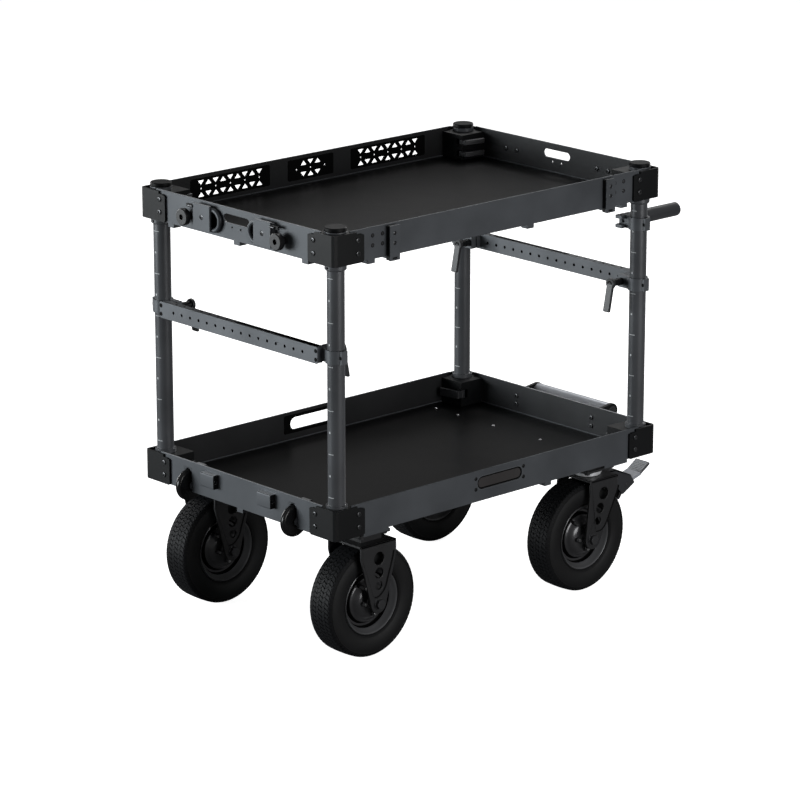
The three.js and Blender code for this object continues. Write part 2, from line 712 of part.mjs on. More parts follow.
function longWall(side, holes) {
  const outline = rectangle([-WALL_END_X, WALL_END_X], [0, BLOCK_HEIGHT]);
  const across = onSide(side, [WALL_BACK_Y, WALL_FACE_Y]);
  return slab("y", outline, across, holes);
}

function handSlotHoles() {
  const screws = [-WALL_HOLE_Y, WALL_HOLE_Y].map((y) => circle(y, WALL_HOLE_Z, WALL_HOLE_RADIUS));
  return [pill(0, HAND_SLOT_Z, HAND_SLOT_LENGTH, HAND_SLOT_HEIGHT), ...screws];
}

// Accessory plate with its boss, tie loop and tab, on the front wall
function accessoryPlate(side) {
  const face = -WALL_FACE_X - PLATE_PROUD;
  const plate = slab(
    "x",
    rectangle(around(side * PLATE_Y, PLATE_WIDTH), around(PLATE_Z, PLATE_HEIGHT), PLATE_RADIUS),
    [face, face + PLATE_THICKNESS]
  );
  const bossY = side * (PLATE_Y + (PLATE_WIDTH - PLATE_BOSS_WIDTH) / 2);
  const boss = box([face + PLATE_THICKNESS / 2, -WALL_FACE_X + OVERRUN / 2], around(bossY, PLATE_BOSS_WIDTH),
    around(PLATE_Z, PLATE_HEIGHT - 2 * PLATE_RADIUS));
  const loop = new THREE.TorusGeometry(TIE_LOOP_RADIUS, TIE_BAR_RADIUS, TORUS_SIDES, TORUS_STEPS);
  loop.rotateY(Math.PI / 2).translate(-WALL_FACE_X - TIE_LOOP_PROUD, side * TIE_LOOP_Y, TIE_LOOP_Z);
  const edge = side * (PLATE_Y + PLATE_WIDTH / 2 - PLATE_RADIUS);
  const tip = edge + side * (PLATE_RADIUS + PLATE_TAB_LENGTH);
  const tab = box([face, face + PLATE_THICKNESS], [Math.min(edge, tip), Math.max(edge, tip)],
    around(PLATE_TAB_Z, PLATE_TAB_HEIGHT));
  return join(plate, boss, loop, tab);
}

function topFrontWall() {
  const lugs = [-END_WALL_LUG_Y, 0, END_WALL_LUG_Y].map((y) => endWallLug(-1, y));
  return join(endWall(-1, handSlotHoles()), accessoryPlate(-1), accessoryPlate(1), ...lugs);
}

function topRearWall() {
  const lugs = [-END_WALL_LUG_Y, 0, END_WALL_LUG_Y].map((y) => endWallLug(1, y));
  return join(endWall(1, handSlotHoles()), ...lugs);
}

// Cleat on the near wall: a spacer block, a face plate with two holes and a slot, and a foot under the wall
function cleat(x) {
  const face = -WALL_FACE_Y - CLEAT_PROUD;
  const back = face + CLEAT_THICKNESS;
  const holes = CLEAT_HOLE_Z.map((z) => circle(x, z, CLEAT_HOLE_RADIUS));
  const slot = rectangle(around(x, CLEAT_SLOT_LENGTH), around(CLEAT_SLOT_Z, CLEAT_SLOT_HEIGHT));
  const plate = slab("y", rectangle(around(x, CLEAT_WIDTH), [CLEAT_FROM_Z, CLEAT_TO_Z]), [face, back],
    [...holes, slot]);
  const width = CLEAT_WIDTH - 2 * CLEAT_MARGIN;
  const spacer = box(around(x, width), [back - CLEAT_MARGIN, -WALL_FACE_Y + CLEAT_MARGIN],
    [CLEAT_FROM_Z + CLEAT_MARGIN, CLEAT_TO_Z - CLEAT_MARGIN]);
  return join(plate, spacer, longWallLug(-1, x, width, CLEAT_FOOT_HEIGHT));
}

function topNearWall() {
  const lugs = [-LONG_WALL_LUG_X, LONG_WALL_LUG_OFFSET_X, LONG_WALL_LUG_X].map((x) => longWallLug(-1, x));
  return join(longWall(-1, []), cleat(-CLEAT_X), cleat(CLEAT_X), ...lugs);
}

// Triangle that points up or down, in a row of such
function triangle(x, z, up) {
  const way = up ? 1 : -1;
  return [
    new THREE.Vector2(x - TRIANGLE_WIDTH / 2, z - (way * TRIANGLE_HEIGHT) / 2),
    new THREE.Vector2(x + TRIANGLE_WIDTH / 2, z - (way * TRIANGLE_HEIGHT) / 2),
    new THREE.Vector2(x, z + (way * TRIANGLE_HEIGHT) / 2),
  ];
}

// Truss panel: two rows of triangles that point up and down by turns, with screw holes between
function trussPanel({ x, length, triangles, screws, firstUp }) {
  const rise = (TRIANGLE_BAND + TRIANGLE_HEIGHT) / 2;
  const openings = row(triangles, x, TRIANGLE_PITCH).flatMap((u, i) => {
    const up = firstUp === (i % 2 === 0);
    return [triangle(u, PANEL_Z + rise, up), triangle(u, PANEL_Z - rise, !up)];
  });
  const holes = row(screws, x, 2 * TRIANGLE_PITCH).map((u) =>
    circle(u, PANEL_Z, PANEL_HOLE_RADIUS, SCREW_HOLE_SIDES)
  );
  const back = WALL_BACK_Y - PANEL_PROUD;
  const front = back + PANEL_THICKNESS;
  const outline = rectangle(around(x, length), around(PANEL_Z, PANEL_HEIGHT), PANEL_RADIUS);
  const through = [back - OVERRUN, front + OVERRUN];
  const cuts = [...openings, ...holes].map((hole) => slab("y", hole, through));
  return cut(slab("y", outline, [back, front]), ...cuts);
}

function topFarWall() {
  const panels = [
    { x: -WIDE_PANEL_X, length: WIDE_PANEL_LENGTH, ...WIDE_PANEL_PATTERN },
    { x: 0, length: MIDDLE_PANEL_LENGTH, ...MIDDLE_PANEL_PATTERN },
    { x: WIDE_PANEL_X, length: WIDE_PANEL_LENGTH, ...WIDE_PANEL_PATTERN },
  ];
  const height = around(PANEL_Z, PANEL_HEIGHT - 2 * PANEL_SEAT);
  const windows = panels.map(({ x, length }) =>
    rectangle(around(x, length - 2 * PANEL_SEAT), height, PANEL_RADIUS)
  );
  const lugs = [-LONG_WALL_LUG_X, LONG_WALL_LUG_OFFSET_X, LONG_WALL_LUG_X].map((x) => longWallLug(1, x));
  return join(
    longWall(1, windows),
    ...panels.map(trussPanel),
    ...lugs
  );
}

// Space of a roller housing inside the tray, widened or narrowed by a margin
function rollerPocket(side, margin, inward, floorZ) {
  const half = ROLLER_WIDTH / 2 + ROLLER_CLEARANCE + margin;
  const back = ROLLER_X - ROLLER_RADIUS - ROLLER_CLEARANCE - margin;
  const top = ROLLER_Z - BOTTOM_TRAY_Z + ROLLER_RADIUS + ROLLER_CLEARANCE + margin;
  return box([-WALL_FACE_X - inward, -back], around(side * ROLLER_Y, 2 * half), [floorZ, top]);
}

// Cheeks that carry a roller's axle, with a round nose in front of the wall
function rollerCheek(y) {
  const axleZ = ROLLER_Z - BOTTOM_TRAY_Z;
  const nose = arcPoints([-ROLLER_X, axleZ], ROLLER_NOSE_RADIUS, Math.PI / 2, (3 * Math.PI) / 2);
  const back = -WALL_BACK_X + ROLLER_NOSE_RADIUS;
  const outline = [
    ...nose,
    new THREE.Vector2(back, axleZ - ROLLER_NOSE_RADIUS),
    new THREE.Vector2(back, axleZ + ROLLER_NOSE_RADIUS),
  ];
  return slab("y", outline, y);
}

function rollerHousing(side) {
  const axleZ = ROLLER_Z - BOTTOM_TRAY_Z;
  const inner = ROLLER_WIDTH / 2 + ROLLER_CLEARANCE;
  const outer = inner + ROLLER_SHELL;
  const middle = side * ROLLER_Y;
  const bosses = around(middle, 2 * (outer + ROLLER_SHELL));
  return join(
    rollerPocket(side, ROLLER_SHELL, 0, 0),
    rollerCheek([middle - outer, middle]),
    rollerCheek([middle, middle + outer]),
    rod("y", ROLLER_BOSS_RADIUS, bosses, [-ROLLER_X, axleZ])
  );
}

function rollerSpace(side) {
  return rollerPocket(side, 0, ROLLER_NOSE_RADIUS + ROLLER_BOSS_RADIUS, -OVERRUN);
}

function rollerAxle(side) {
  const reach = ROLLER_WIDTH + 2 * (ROLLER_CLEARANCE + ROLLER_SHELL);
  const at = [-ROLLER_X, ROLLER_Z - BOTTOM_TRAY_Z];
  return rod("y", ROLLER_AXLE_RADIUS, around(side * ROLLER_Y, reach), at, HOLE_SIDES);
}

function hookBracket(side) {
  const across = onSide(side, [BRACKET_FROM_Y, BRACKET_TO_Y]);
  const face = -WALL_FACE_X - BRACKET_PROUD;
  const outline = rounded([
    [face, BRACKET_FROM_Z, BRACKET_RADIUS],
    [-WALL_FACE_X + OVERRUN, BRACKET_FROM_Z, 0],
    [-WALL_FACE_X + OVERRUN, BRACKET_TO_Z, 0],
    [face, BRACKET_TO_Z, BRACKET_RADIUS],
  ]);
  const holeX = -WALL_FACE_X - BRACKET_PROUD / 2;
  const holeZ = (BRACKET_FROM_Z + BRACKET_TO_Z) / 2;
  return slab("y", outline, across, [circle(holeX, holeZ, BRACKET_HOLE_RADIUS)]);
}

function bottomFrontWall() {
  const solid = join(endWall(-1, []), hookBracket(-1), hookBracket(1), rollerHousing(-1), rollerHousing(1),
    endWallLug(-1, 0));
  return join(cut(solid, rollerSpace(-1), rollerSpace(1)), rollerAxle(-1), rollerAxle(1));
}

function bottomRearWall() {
  return join(endWall(1, []), endWallLug(1, 0));
}

function lips(side) {
  return [-LIP_X, LIP_X].map((x) => longWallLug(side, x, LIP_LENGTH, LIP_HEIGHT, WALL_THICKNESS));
}

// Near wall of the bottom tray, with the groove round its slot cover
function bottomNearWall() {
  const groove = slab("y", pill(0, LONG_SLOT_Z, LONG_SLOT_LENGTH, LONG_SLOT_HEIGHT),
    [-WALL_FACE_Y - OVERRUN, -WALL_FACE_Y + COVER_GROOVE_DEPTH],
    [pill(0, LONG_SLOT_Z, LONG_SLOT_LENGTH - 2 * COVER_GROOVE, LONG_SLOT_HEIGHT - 2 * COVER_GROOVE)]);
  return join(cut(longWall(-1, []), groove), longWallLug(-1, BOTTOM_LUG_X), ...lips(-1));
}

// Far wall of the bottom tray, with its open slot and the bezel round it
function bottomFarWall() {
  const slot = pill(0, LONG_SLOT_Z, LONG_SLOT_LENGTH, LONG_SLOT_HEIGHT);
  const bezel = slab("y", rectangle(around(0, BEZEL_LENGTH), around(LONG_SLOT_Z, BEZEL_HEIGHT), PANEL_RADIUS),
    [WALL_BACK_Y - BEZEL_PROUD, WALL_BACK_Y + BEZEL_PROUD], [slot]);
  return join(longWall(1, [slot]), bezel, longWallLug(1, BOTTOM_LUG_X), ...lips(1));
}

function addTrays() {
  const top = [0, 0, TOP_TRAY_Z];
  const bottom = [0, 0, BOTTOM_TRAY_Z];
  const notches = [-1, 1].map((side) => rollerPocket(side, ROLLER_SHELL + FIT, 0, -OVERRUN));
  addPart("top_floor", trayFloor([]), floorFinish, top);
  addPart("bottom_floor", trayFloor(notches), floorFinish, bottom);
  addPart("top_front_wall", topFrontWall(), wallFinish, top);
  addPart("top_rear_wall", topRearWall(), wallFinish, top);
  addPart("top_near_wall", topNearWall(), wallFinish, top);
  addPart("top_far_wall", topFarWall(), wallFinish, top);
  addPart("bottom_front_wall", bottomFrontWall(), wallFinish, bottom);
  addPart("bottom_rear_wall", bottomRearWall(), wallFinish, bottom);
  addPart("bottom_near_wall", bottomNearWall(), wallFinish, bottom);
  addPart("bottom_far_wall", bottomFarWall(), wallFinish, bottom);
}

// Rubber bumper, turned about the X axis, standing off the wall towards -X
function bumperShape() {
  const neckEnd = BUMPER_PROUD - BUMPER_DISC;
  return turned("x", [
    [0, -BUMPER_PROUD + BUMPER_SOCKET_DEPTH],
    [BUMPER_SOCKET_RADIUS, -BUMPER_PROUD + BUMPER_SOCKET_DEPTH],
    [BUMPER_SOCKET_RADIUS, -BUMPER_PROUD],
    [BUMPER_RADIUS - BUMPER_CHAMFER, -BUMPER_PROUD],
    [BUMPER_RADIUS, -BUMPER_PROUD + BUMPER_CHAMFER],
    [BUMPER_RADIUS, -neckEnd],
    [BUMPER_NECK_RADIUS, -neckEnd],
    [BUMPER_NECK_RADIUS, -FIT],
    [0, -FIT],
  ], ROLLER_SIDES);
}

// Curb roller, turned about the Y axis, with a groove round its tread
function rollerShape() {
  const half = ROLLER_WIDTH / 2;
  const bore = boreRadius(ROLLER_AXLE_RADIUS, ROLLER_SIDES);
  const groove = ROLLER_GROOVE_WIDTH / 2;
  return turned("y", [
    [bore, -half],
    [ROLLER_RADIUS - groove, -half],
    [ROLLER_RADIUS, -half + groove],
    [ROLLER_RADIUS, -groove],
    [ROLLER_RADIUS - ROLLER_GROOVE_DEPTH, 0],
    [ROLLER_RADIUS, groove],
    [ROLLER_RADIUS, half - groove],
    [ROLLER_RADIUS - groove, half],
    [bore, half],
    [bore, -half],
  ], ROLLER_SIDES);
}

function addBumpersAndRollers() {
  SIDES.forEach(({ name, y }) => {
    const bumperPlace = [-WALL_FACE_X, y * BUMPER_Y, TOP_TRAY_Z + BUMPER_Z];
    addPart(`bumper_${name}`, bumperShape(), rubberFinish, bumperPlace);
    addPart(`curb_roller_${name}`, rollerShape(), rubberFinish, [-ROLLER_X, y * ROLLER_Y, ROLLER_Z]);
  });
}

// Split clamp about a post on the +Y side; its bar or grip lies towards -X. Heights from its middle.
function splitClamp(reach) {
  const height = around(0, CLAMP_HEIGHT);
  const gap = CLAMP_SPLIT / 2;
  const earY = [CLAMP_BOLT_Y - CLAMP_EAR_HALF, POST_Y - POST_RADIUS];
  const ears = box([-reach, CLAMP_EAR_REACH], earY, height);
  const ring = rod("z", CLAMP_RADIUS, height, [0, POST_Y], POST_SIDES);
  const bore = rod("z", boreRadius(POST_RADIUS, POST_SIDES), [height[0] - OVERRUN, height[1] + OVERRUN],
    [0, POST_Y], POST_SIDES);
  const split = box([-gap, gap], [earY[0] - OVERRUN, POST_Y], [height[0] - OVERRUN, height[1] + OVERRUN]);
  return cut(join(ears, ring), bore, split);
}

// Crossbar across the cart: a square tube with a row of holes through it and a clamp at each end
function crossbar() {
  const outer = -CROSSBAR_REACH;
  const inner = outer + CROSSBAR_DEPTH;
  const halfHeight = CROSSBAR_HEIGHT / 2;
  const halfLength = CROSSBAR_LENGTH / 2;
  const holes = row(CROSSBAR_HOLES, 0, CROSSBAR_HOLE_PITCH).map((y) => circle(y, 0, CROSSBAR_HOLE_RADIUS));
  const height = [-halfHeight, halfHeight];
  const tubeLength = [-halfLength + CROSSBAR_END_RADIUS, halfLength - CROSSBAR_END_RADIUS];
  const face = slab("x", rectangle([-halfLength, halfLength], height, CROSSBAR_END_RADIUS),
    [outer, outer + CROSSBAR_WALL], holes);
  const back = slab("x", rectangle(tubeLength, height), [inner - CROSSBAR_WALL, inner], holes);
  const flange = [halfHeight - CROSSBAR_WALL, halfHeight];
  const depth = [outer + CROSSBAR_WALL / 2, inner - CROSSBAR_WALL / 2];
  const flanges = [flange, opposite(flange)].map((z) => box(depth, tubeLength, z));
  const blockEnd = halfLength - CROSSBAR_END_RADIUS / 2;
  const block = [blockEnd - CROSSBAR_END_BLOCK, blockEnd];
  const blockHeight = around(0, CROSSBAR_HEIGHT - CROSSBAR_WALL);
  const blocks = [block, opposite(block)].map((y) => box(depth, y, blockHeight));
  const boltSpan = [inner, CLAMP_EAR_REACH + OVERRUN];
  const boltHoles = [-CLAMP_BOLT_Y, CLAMP_BOLT_Y].map((y) =>
    rod("x", boreRadius(CLAMP_BOLT_RADIUS, HOLE_SIDES), boltSpan, [y, 0], HOLE_SIDES)
  );
  const clamp = splitClamp(-inner + CROSSBAR_WALL);
  return cut(join(face, back, ...flanges, ...blocks, clamp, mirrored(clamp, 1, -1)), ...boltHoles);
}

// Ratchet lever about its bolt, which runs along X; the arm hangs down and leans towards +X
function ratchetLever() {
  const hubFoot = CLAMP_EAR_REACH + FIT;
  const hubEnd = hubFoot + LEVER_HUB_LENGTH;
  const lean = LEVER_ARM_LENGTH * Math.tan(THREE.MathUtils.degToRad(LEVER_LEAN_DEG));
  const boltFoot = -CROSSBAR_REACH + CROSSBAR_DEPTH + FIT;
  const bolt = rod("x", CLAMP_BOLT_RADIUS, [boltFoot, hubEnd], [0, 0], HOLE_SIDES);
  const hub = rod("x", LEVER_HUB_RADIUS, [hubFoot, hubEnd], [0, 0], SMALL_SIDES, LEVER_HUB_END_RADIUS);
  const arm = slab("y", rounded([
    [hubEnd - LEVER_ARM_THICKNESS, 0, 0],
    [hubEnd - LEVER_ARM_THICKNESS + lean, -LEVER_ARM_LENGTH, LEVER_ARM_THICKNESS / 3],
    [hubEnd + lean, -LEVER_ARM_LENGTH, LEVER_ARM_THICKNESS / 3],
    [hubEnd, 0, 0],
  ]), around(0, LEVER_ARM_WIDTH));
  return join(bolt, hub, arm);
}

function addCrossbars() {
  const ends = [
    { end: "front", x: -POST_X, turn: 0 },
    { end: "rear", x: POST_X, turn: Math.PI },
  ];
  ends.forEach(({ end, x, turn }) => {
    addPart(`${end}_crossbar`, crossbar(), barFinish, [x, 0, CROSSBAR_Z], turn);
    SIDES.forEach(({ name, y }) => {
      const leverPlace = [x, y * CLAMP_BOLT_Y, CROSSBAR_Z];
      addPart(`${end}_clamp_lever_${name}`, ratchetLever(), leverFinish, leverPlace, turn);
    });
  });
}

// Push handle with its split clamp, about the cart's middle; the grip points towards -X
function pushHandle() {
  const gripFoot = -CLAMP_EAR_REACH + OVERRUN;
  const grip = turned("x", [
    [0, gripFoot],
    [HANDLE_RADIUS, gripFoot],
    [HANDLE_RADIUS, -HANDLE_REACH + HANDLE_END_RADIUS],
    [HANDLE_RADIUS - HANDLE_END_RADIUS / 3, -HANDLE_REACH + HANDLE_END_RADIUS / 3],
    [HANDLE_RADIUS - HANDLE_END_RADIUS, -HANDLE_REACH],
    [0, -HANDLE_REACH],
  ].reverse(), POST_SIDES);
  grip.translate(0, CLAMP_BOLT_Y, 0);
  const fork = box([CLAMP_EAR_REACH - OVERRUN, HANDLE_FORK_REACH], around(CLAMP_BOLT_Y, 2 * CLAMP_EAR_HALF),
    around(0, CLAMP_HEIGHT));
  const forkGap = box([HANDLE_FORK_ROOT, HANDLE_FORK_REACH + OVERRUN],
    around(CLAMP_BOLT_Y, 2 * (CLAMP_EAR_HALF + OVERRUN)), around(0, HANDLE_FORK_GAP));
  const stub = rod("x", CLAMP_BOLT_RADIUS, [gripFoot, HANDLE_STUB_END], [CLAMP_BOLT_Y, 0], HOLE_SIDES);
  return join(cut(join(splitClamp(CLAMP_EAR_REACH), fork), forkGap), grip, stub);
}

function addPushHandles() {
  const handle = pushHandle();
  addPart("push_handle_near", handle, postFinish, [POST_X, 0, HANDLE_Z], Math.PI);
  addPart("push_handle_far", mirrored(handle, 1, -1), postFinish, [POST_X, 0, HANDLE_Z], Math.PI);
}

// Grab handle: a tube between two arms that stand off the rear wall
function grabHandle() {
  const foot = WALL_FACE_X + FIT;
  const centre = [WALL_FACE_X + GRAB_REACH, GRAB_Z];
  const footFrom = [foot, BOTTOM_TRAY_Z + GRAB_FOOT_FROM_RISE];
  const footTo = [foot, BOTTOM_TRAY_Z + GRAB_FOOT_TO_RISE];
  const lower = tangentAngle(footFrom, centre, GRAB_ARM_RADIUS, 1);
  const upper = tangentAngle(footTo, centre, GRAB_ARM_RADIUS, -1);
  const outline = [
    new THREE.Vector2(...footTo),
    new THREE.Vector2(...footFrom),
    ...arcPoints(centre, GRAB_ARM_RADIUS, lower, upper),
  ];
  const arm = [GRAB_ARM_FROM_Y, GRAB_ARM_TO_Y];
  const tube = rod("y", GRAB_RADIUS, [-arm[0] - OVERRUN, arm[0] + OVERRUN], centre, POST_SIDES);
  return join(tube, slab("y", outline, arm), slab("y", outline, opposite(arm)));
}

// Angle at which a line from a point touches a circle, on the side given by the sign
function tangentAngle([u, v], [cu, cv], radius, side) {
  const distance = Math.hypot(u - cu, v - cv);
  return Math.atan2(v - cv, u - cu) + side * Math.acos(radius / distance);
}

// Tyre and rim, turned about the Y axis; flats touch the true circle
function tyreShape() {
  const bead = RIM_HALF_WIDTH - RIM_FLANGE - FIT;
  const tread = WHEEL_RADIUS / Math.cos(Math.PI / WHEEL_SIDES);
  const half = [
    [RIM_BARREL_RADIUS + FIT, bead],
    [RIM_RADIUS + FIT, bead],
    [RIM_RADIUS + RIM_FLANGE, RIM_HALF_WIDTH],
    [WHEEL_RADIUS - TYRE_BULGE_DROP, TYRE_HALF_WIDTH],
    [WHEEL_RADIUS - SHOULDER_DROP, (TYRE_HALF_WIDTH + TREAD_HALF_WIDTH) / 2],
    [tread, TREAD_HALF_WIDTH],
  ];
  const other = half.map(([radius, along]) => [radius, -along]).reverse();
  return wheelTurned([...half, ...other, half[0]]);
}

function rimShape() {
  const bore = boreRadius(AXLE_RADIUS, WHEEL_SIDES);
  const lip = RIM_HALF_WIDTH - RIM_FLANGE;
  const half = [
    [bore, HUB_HALF_LENGTH],
    [HUB_RADIUS - HUB_CHAMFER, HUB_HALF_LENGTH],
    [HUB_RADIUS, HUB_HALF_LENGTH - HUB_CHAMFER],
    [HUB_RADIUS, RIM_DISC_HALF],
    [RIM_DISH_OUTER_RADIUS, lip / 2],
    [RIM_BARREL_RADIUS - RIM_WALL, lip],
    [RIM_RADIUS, RIM_HALF_WIDTH],
    [RIM_RADIUS, lip],
    [RIM_BARREL_RADIUS, lip],
  ];
  const other = half.map(([radius, along]) => [radius, -along]).reverse();
  return wheelTurned([...half, ...other, half[0]]);
}

function wheelTurned(profile) {
  return turned("y", [...profile].reverse(), WHEEL_SIDES).rotateY(Math.PI / WHEEL_SIDES);
}

// Fork side plate: straight shoulders down to a round foot about the axle, with three holes
function forkPlate(front, rear, foot, footRadius, holes, across) {
  const frontTouch = tangentAngle(front.at(-1), foot, footRadius, 1);
  const rearTouch = tangentAngle(rear.at(-1), foot, footRadius, -1);
  const outline = [
    ...front.map(([u, v]) => new THREE.Vector2(u, v)),
    ...arcPoints(foot, footRadius, frontTouch, rearTouch + 2 * Math.PI),
    ...[...rear].reverse().map(([u, v]) => new THREE.Vector2(u, v)),
  ];
  return slab("y", outline, across, holes);
}

function forkPlates(front, rear, foot, footRadius, offsets) {
  const holes = PLATE_HOLE_RADII.map((radius, i) =>
    circle(offsets[i], CROWN_BOTTOM_Z - PLATE_HOLE_DROPS[i], radius, SMALL_SIDES)
  );
  const across = [FORK_REACH - FORK_THICKNESS, FORK_REACH];
  return [across, opposite(across)].map((y) => forkPlate(front, rear, foot, footRadius, holes, y));
}

// Axle with a hex head at each end
function axle(x) {
  const reach = FORK_REACH + AXLE_HEAD_HEIGHT;
  const heads = [FORK_REACH - OVERRUN, reach];
  return [
    rod("y", AXLE_RADIUS, [-reach, reach], [x, WHEEL_RADIUS]),
    rod("y", AXLE_HEAD_RADIUS, heads, [x, WHEEL_RADIUS], HEX_SIDES),
    rod("y", AXLE_HEAD_RADIUS, opposite(heads), [x, WHEEL_RADIUS], HEX_SIDES),
  ];
}

// Base plate with the pad that fills up to the tray
function basePlate() {
  const plate = around(0, BASE_WIDTH);
  const pad = around(0, PAD_WIDTH);
  const plateTop = BASE_BOTTOM_Z + BASE_THICKNESS;
  return [box(plate, plate, [BASE_BOTTOM_Z, plateTop]), box(pad, pad, [plateTop - OVERRUN, PAD_TOP_Z])];
}

function rigidFork() {
  const crownTop = CROWN_BOTTOM_Z + CROWN_THICKNESS;
  const reach = around(0, 2 * FORK_REACH);
  const front = [[-RIGID_PLATE_HALF, crownTop], [-RIGID_PLATE_HALF, CROWN_BOTTOM_Z - RIGID_SHOULDER_DROP]];
  const rear = front.map(([u, v]) => [-u, v]);
  const spacer = around(0, RIGID_SPACER);
  return join(
    ...forkPlates(front, rear, [0, WHEEL_RADIUS], RIGID_FOOT_RADIUS, [0, 0, 0]),
    box(around(0, 2 * RIGID_PLATE_HALF), reach, [CROWN_BOTTOM_Z, crownTop]),
    box(spacer, spacer, [crownTop - OVERRUN, BASE_BOTTOM_Z + OVERRUN]),
    ...basePlate(),
    ...axle(0)
  );
}

// Swivel head: base plate, ball race housing and kingpin with its nut below the crown
function swivelHead() {
  const raceFoot = CROWN_BOTTOM_Z + CROWN_THICKNESS + FIT;
  const nutTop = CROWN_BOTTOM_Z - FIT;
  const race = turned("z", [
    [0, nutTop - KINGPIN_NUT_HEIGHT],
    [KINGPIN_NUT_RADIUS, nutTop - KINGPIN_NUT_HEIGHT],
    [KINGPIN_NUT_RADIUS, nutTop],
    [KINGPIN_RADIUS, nutTop],
    [KINGPIN_RADIUS, raceFoot],
    [RACE_RADIUS - RACE_CHAMFER, raceFoot],
    [RACE_RADIUS, raceFoot + RACE_CHAMFER],
    [RACE_RADIUS, BASE_BOTTOM_Z + OVERRUN],
    [0, BASE_BOTTOM_Z + OVERRUN],
  ], POST_SIDES);
  return join(race, ...basePlate());
}

// Point of the brake from its rise over the tread and its turn about the axle, from the swivel axis
function brakePoint(rise, degrees) {
  const turn = THREE.MathUtils.degToRad(degrees);
  const radius = WHEEL_RADIUS + rise;
  return [radius * Math.cos(turn) - TRAIL, radius * Math.sin(turn) + WHEEL_RADIUS];
}

// Brake bracket: two cheeks and a cover from the crown to the brake pivot
function brakeBracket() {
  const crownTop = CROWN_BOTTOM_Z + CROWN_THICKNESS;
  const top = brakePoint(BRAKE_TOP_RISE, BRAKE_TOP_TURN_DEG);
  const cheek = [
    [SWIVEL_PLATE_FRONT, crownTop],
    [SWIVEL_PLATE_FRONT, CROWN_BOTTOM_Z],
    brakePoint(BRAKE_NECK_RISE, BRAKE_NECK_TURN_DEG),
    brakePoint(BRAKE_HEEL_RISE, BRAKE_HEEL_TURN_DEG),
    brakePoint(BRAKE_TIP_RISE, BRAKE_TIP_TURN_DEG),
    top,
    [BRAKE_NECK_TOP, crownTop],
  ].map(([u, v]) => new THREE.Vector2(u, v));
  const across = [BRAKE_CHEEK_Y, BRAKE_CHEEK_Y + BRAKE_CHEEK_THICKNESS];
  const hole = circle(...BRAKE_PIVOT, boreRadius(BRAKE_PIN_RADIUS, HOLE_SIDES));
  const cover = [
    [SWIVEL_PLATE_FRONT, crownTop],
    [SWIVEL_PLATE_FRONT, CROWN_BOTTOM_Z],
    [BRAKE_NECK_TOP - BRAKE_CHEEK_THICKNESS / 2, CROWN_BOTTOM_Z],
    [top[0], top[1] - BRAKE_CHEEK_THICKNESS],
    top,
    [BRAKE_NECK_TOP, crownTop],
  ].map(([u, v]) => new THREE.Vector2(u, v));
  return [
    slab("y", cheek, across, [hole]),
    slab("y", cheek, opposite(across), [hole]),
    slab("y", cover, around(0, 2 * across[1])),
  ];
}

function swivelFork() {
  const crownTop = CROWN_BOTTOM_Z + CROWN_THICKNESS;
  const front = [[-SWIVEL_PLATE_FRONT, crownTop]];
  const rear = [[SWIVEL_PLATE_REAR, crownTop], [SWIVEL_SHOULDER_REAR, CROWN_BOTTOM_Z - SWIVEL_SHOULDER_DROP]];
  const foot = [-TRAIL + SWIVEL_FOOT_OFFSET, WHEEL_RADIUS];
  const crown = slab("z",
    rectangle([-SWIVEL_PLATE_FRONT, SWIVEL_PLATE_REAR], around(0, 2 * FORK_REACH)),
    [CROWN_BOTTOM_Z, crownTop], [circle(0, 0, boreRadius(KINGPIN_RADIUS, POST_SIDES), POST_SIDES)]);
  return join(
    ...forkPlates(front, rear, foot, SWIVEL_FOOT_RADIUS, SWIVEL_HOLE_OFFSETS),
    crown,
    ...axle(-TRAIL),
    ...brakeBracket()
  );
}

// Brake pedal about its pivot pin: the shoe arm, the neck and the tread plate
function brakePedal() {
  const turn = THREE.MathUtils.degToRad(BRAKE_SHOE_TURN_DEG);
  const shoe = [BRAKE_SHOE_LENGTH * Math.cos(turn), BRAKE_SHOE_LENGTH * Math.sin(turn)];
  const inside = around(0, 2 * (BRAKE_CHEEK_Y - FIT));
  const bracket = around(0, 2 * (BRAKE_CHEEK_Y + BRAKE_CHEEK_THICKNESS));
  const pin = rod("y", BRAKE_PIN_RADIUS, bracket, [0, 0], HOLE_SIDES);
  return join(
    pin,
    slab("y", strip([0, 0], shoe, BRAKE_ARM_THICKNESS), inside),
    slab("y", strip([0, 0], PEDAL_START, BRAKE_ARM_THICKNESS), inside),
    slab("y", strip(PEDAL_START, PEDAL_END, PEDAL_THICKNESS), around(0, PEDAL_WIDTH))
  );
}

// Flat bar between two points, with rounded ends
function strip([u0, v0], [u1, v1], thickness) {
  const way = Math.atan2(v1 - v0, u1 - u0);
  const half = thickness / 2;
  return [
    ...arcPoints([u1, v1], half, way - Math.PI / 2, way + Math.PI / 2),
    ...arcPoints([u0, v0], half, way + Math.PI / 2, way + (3 * Math.PI) / 2),
  ];
}

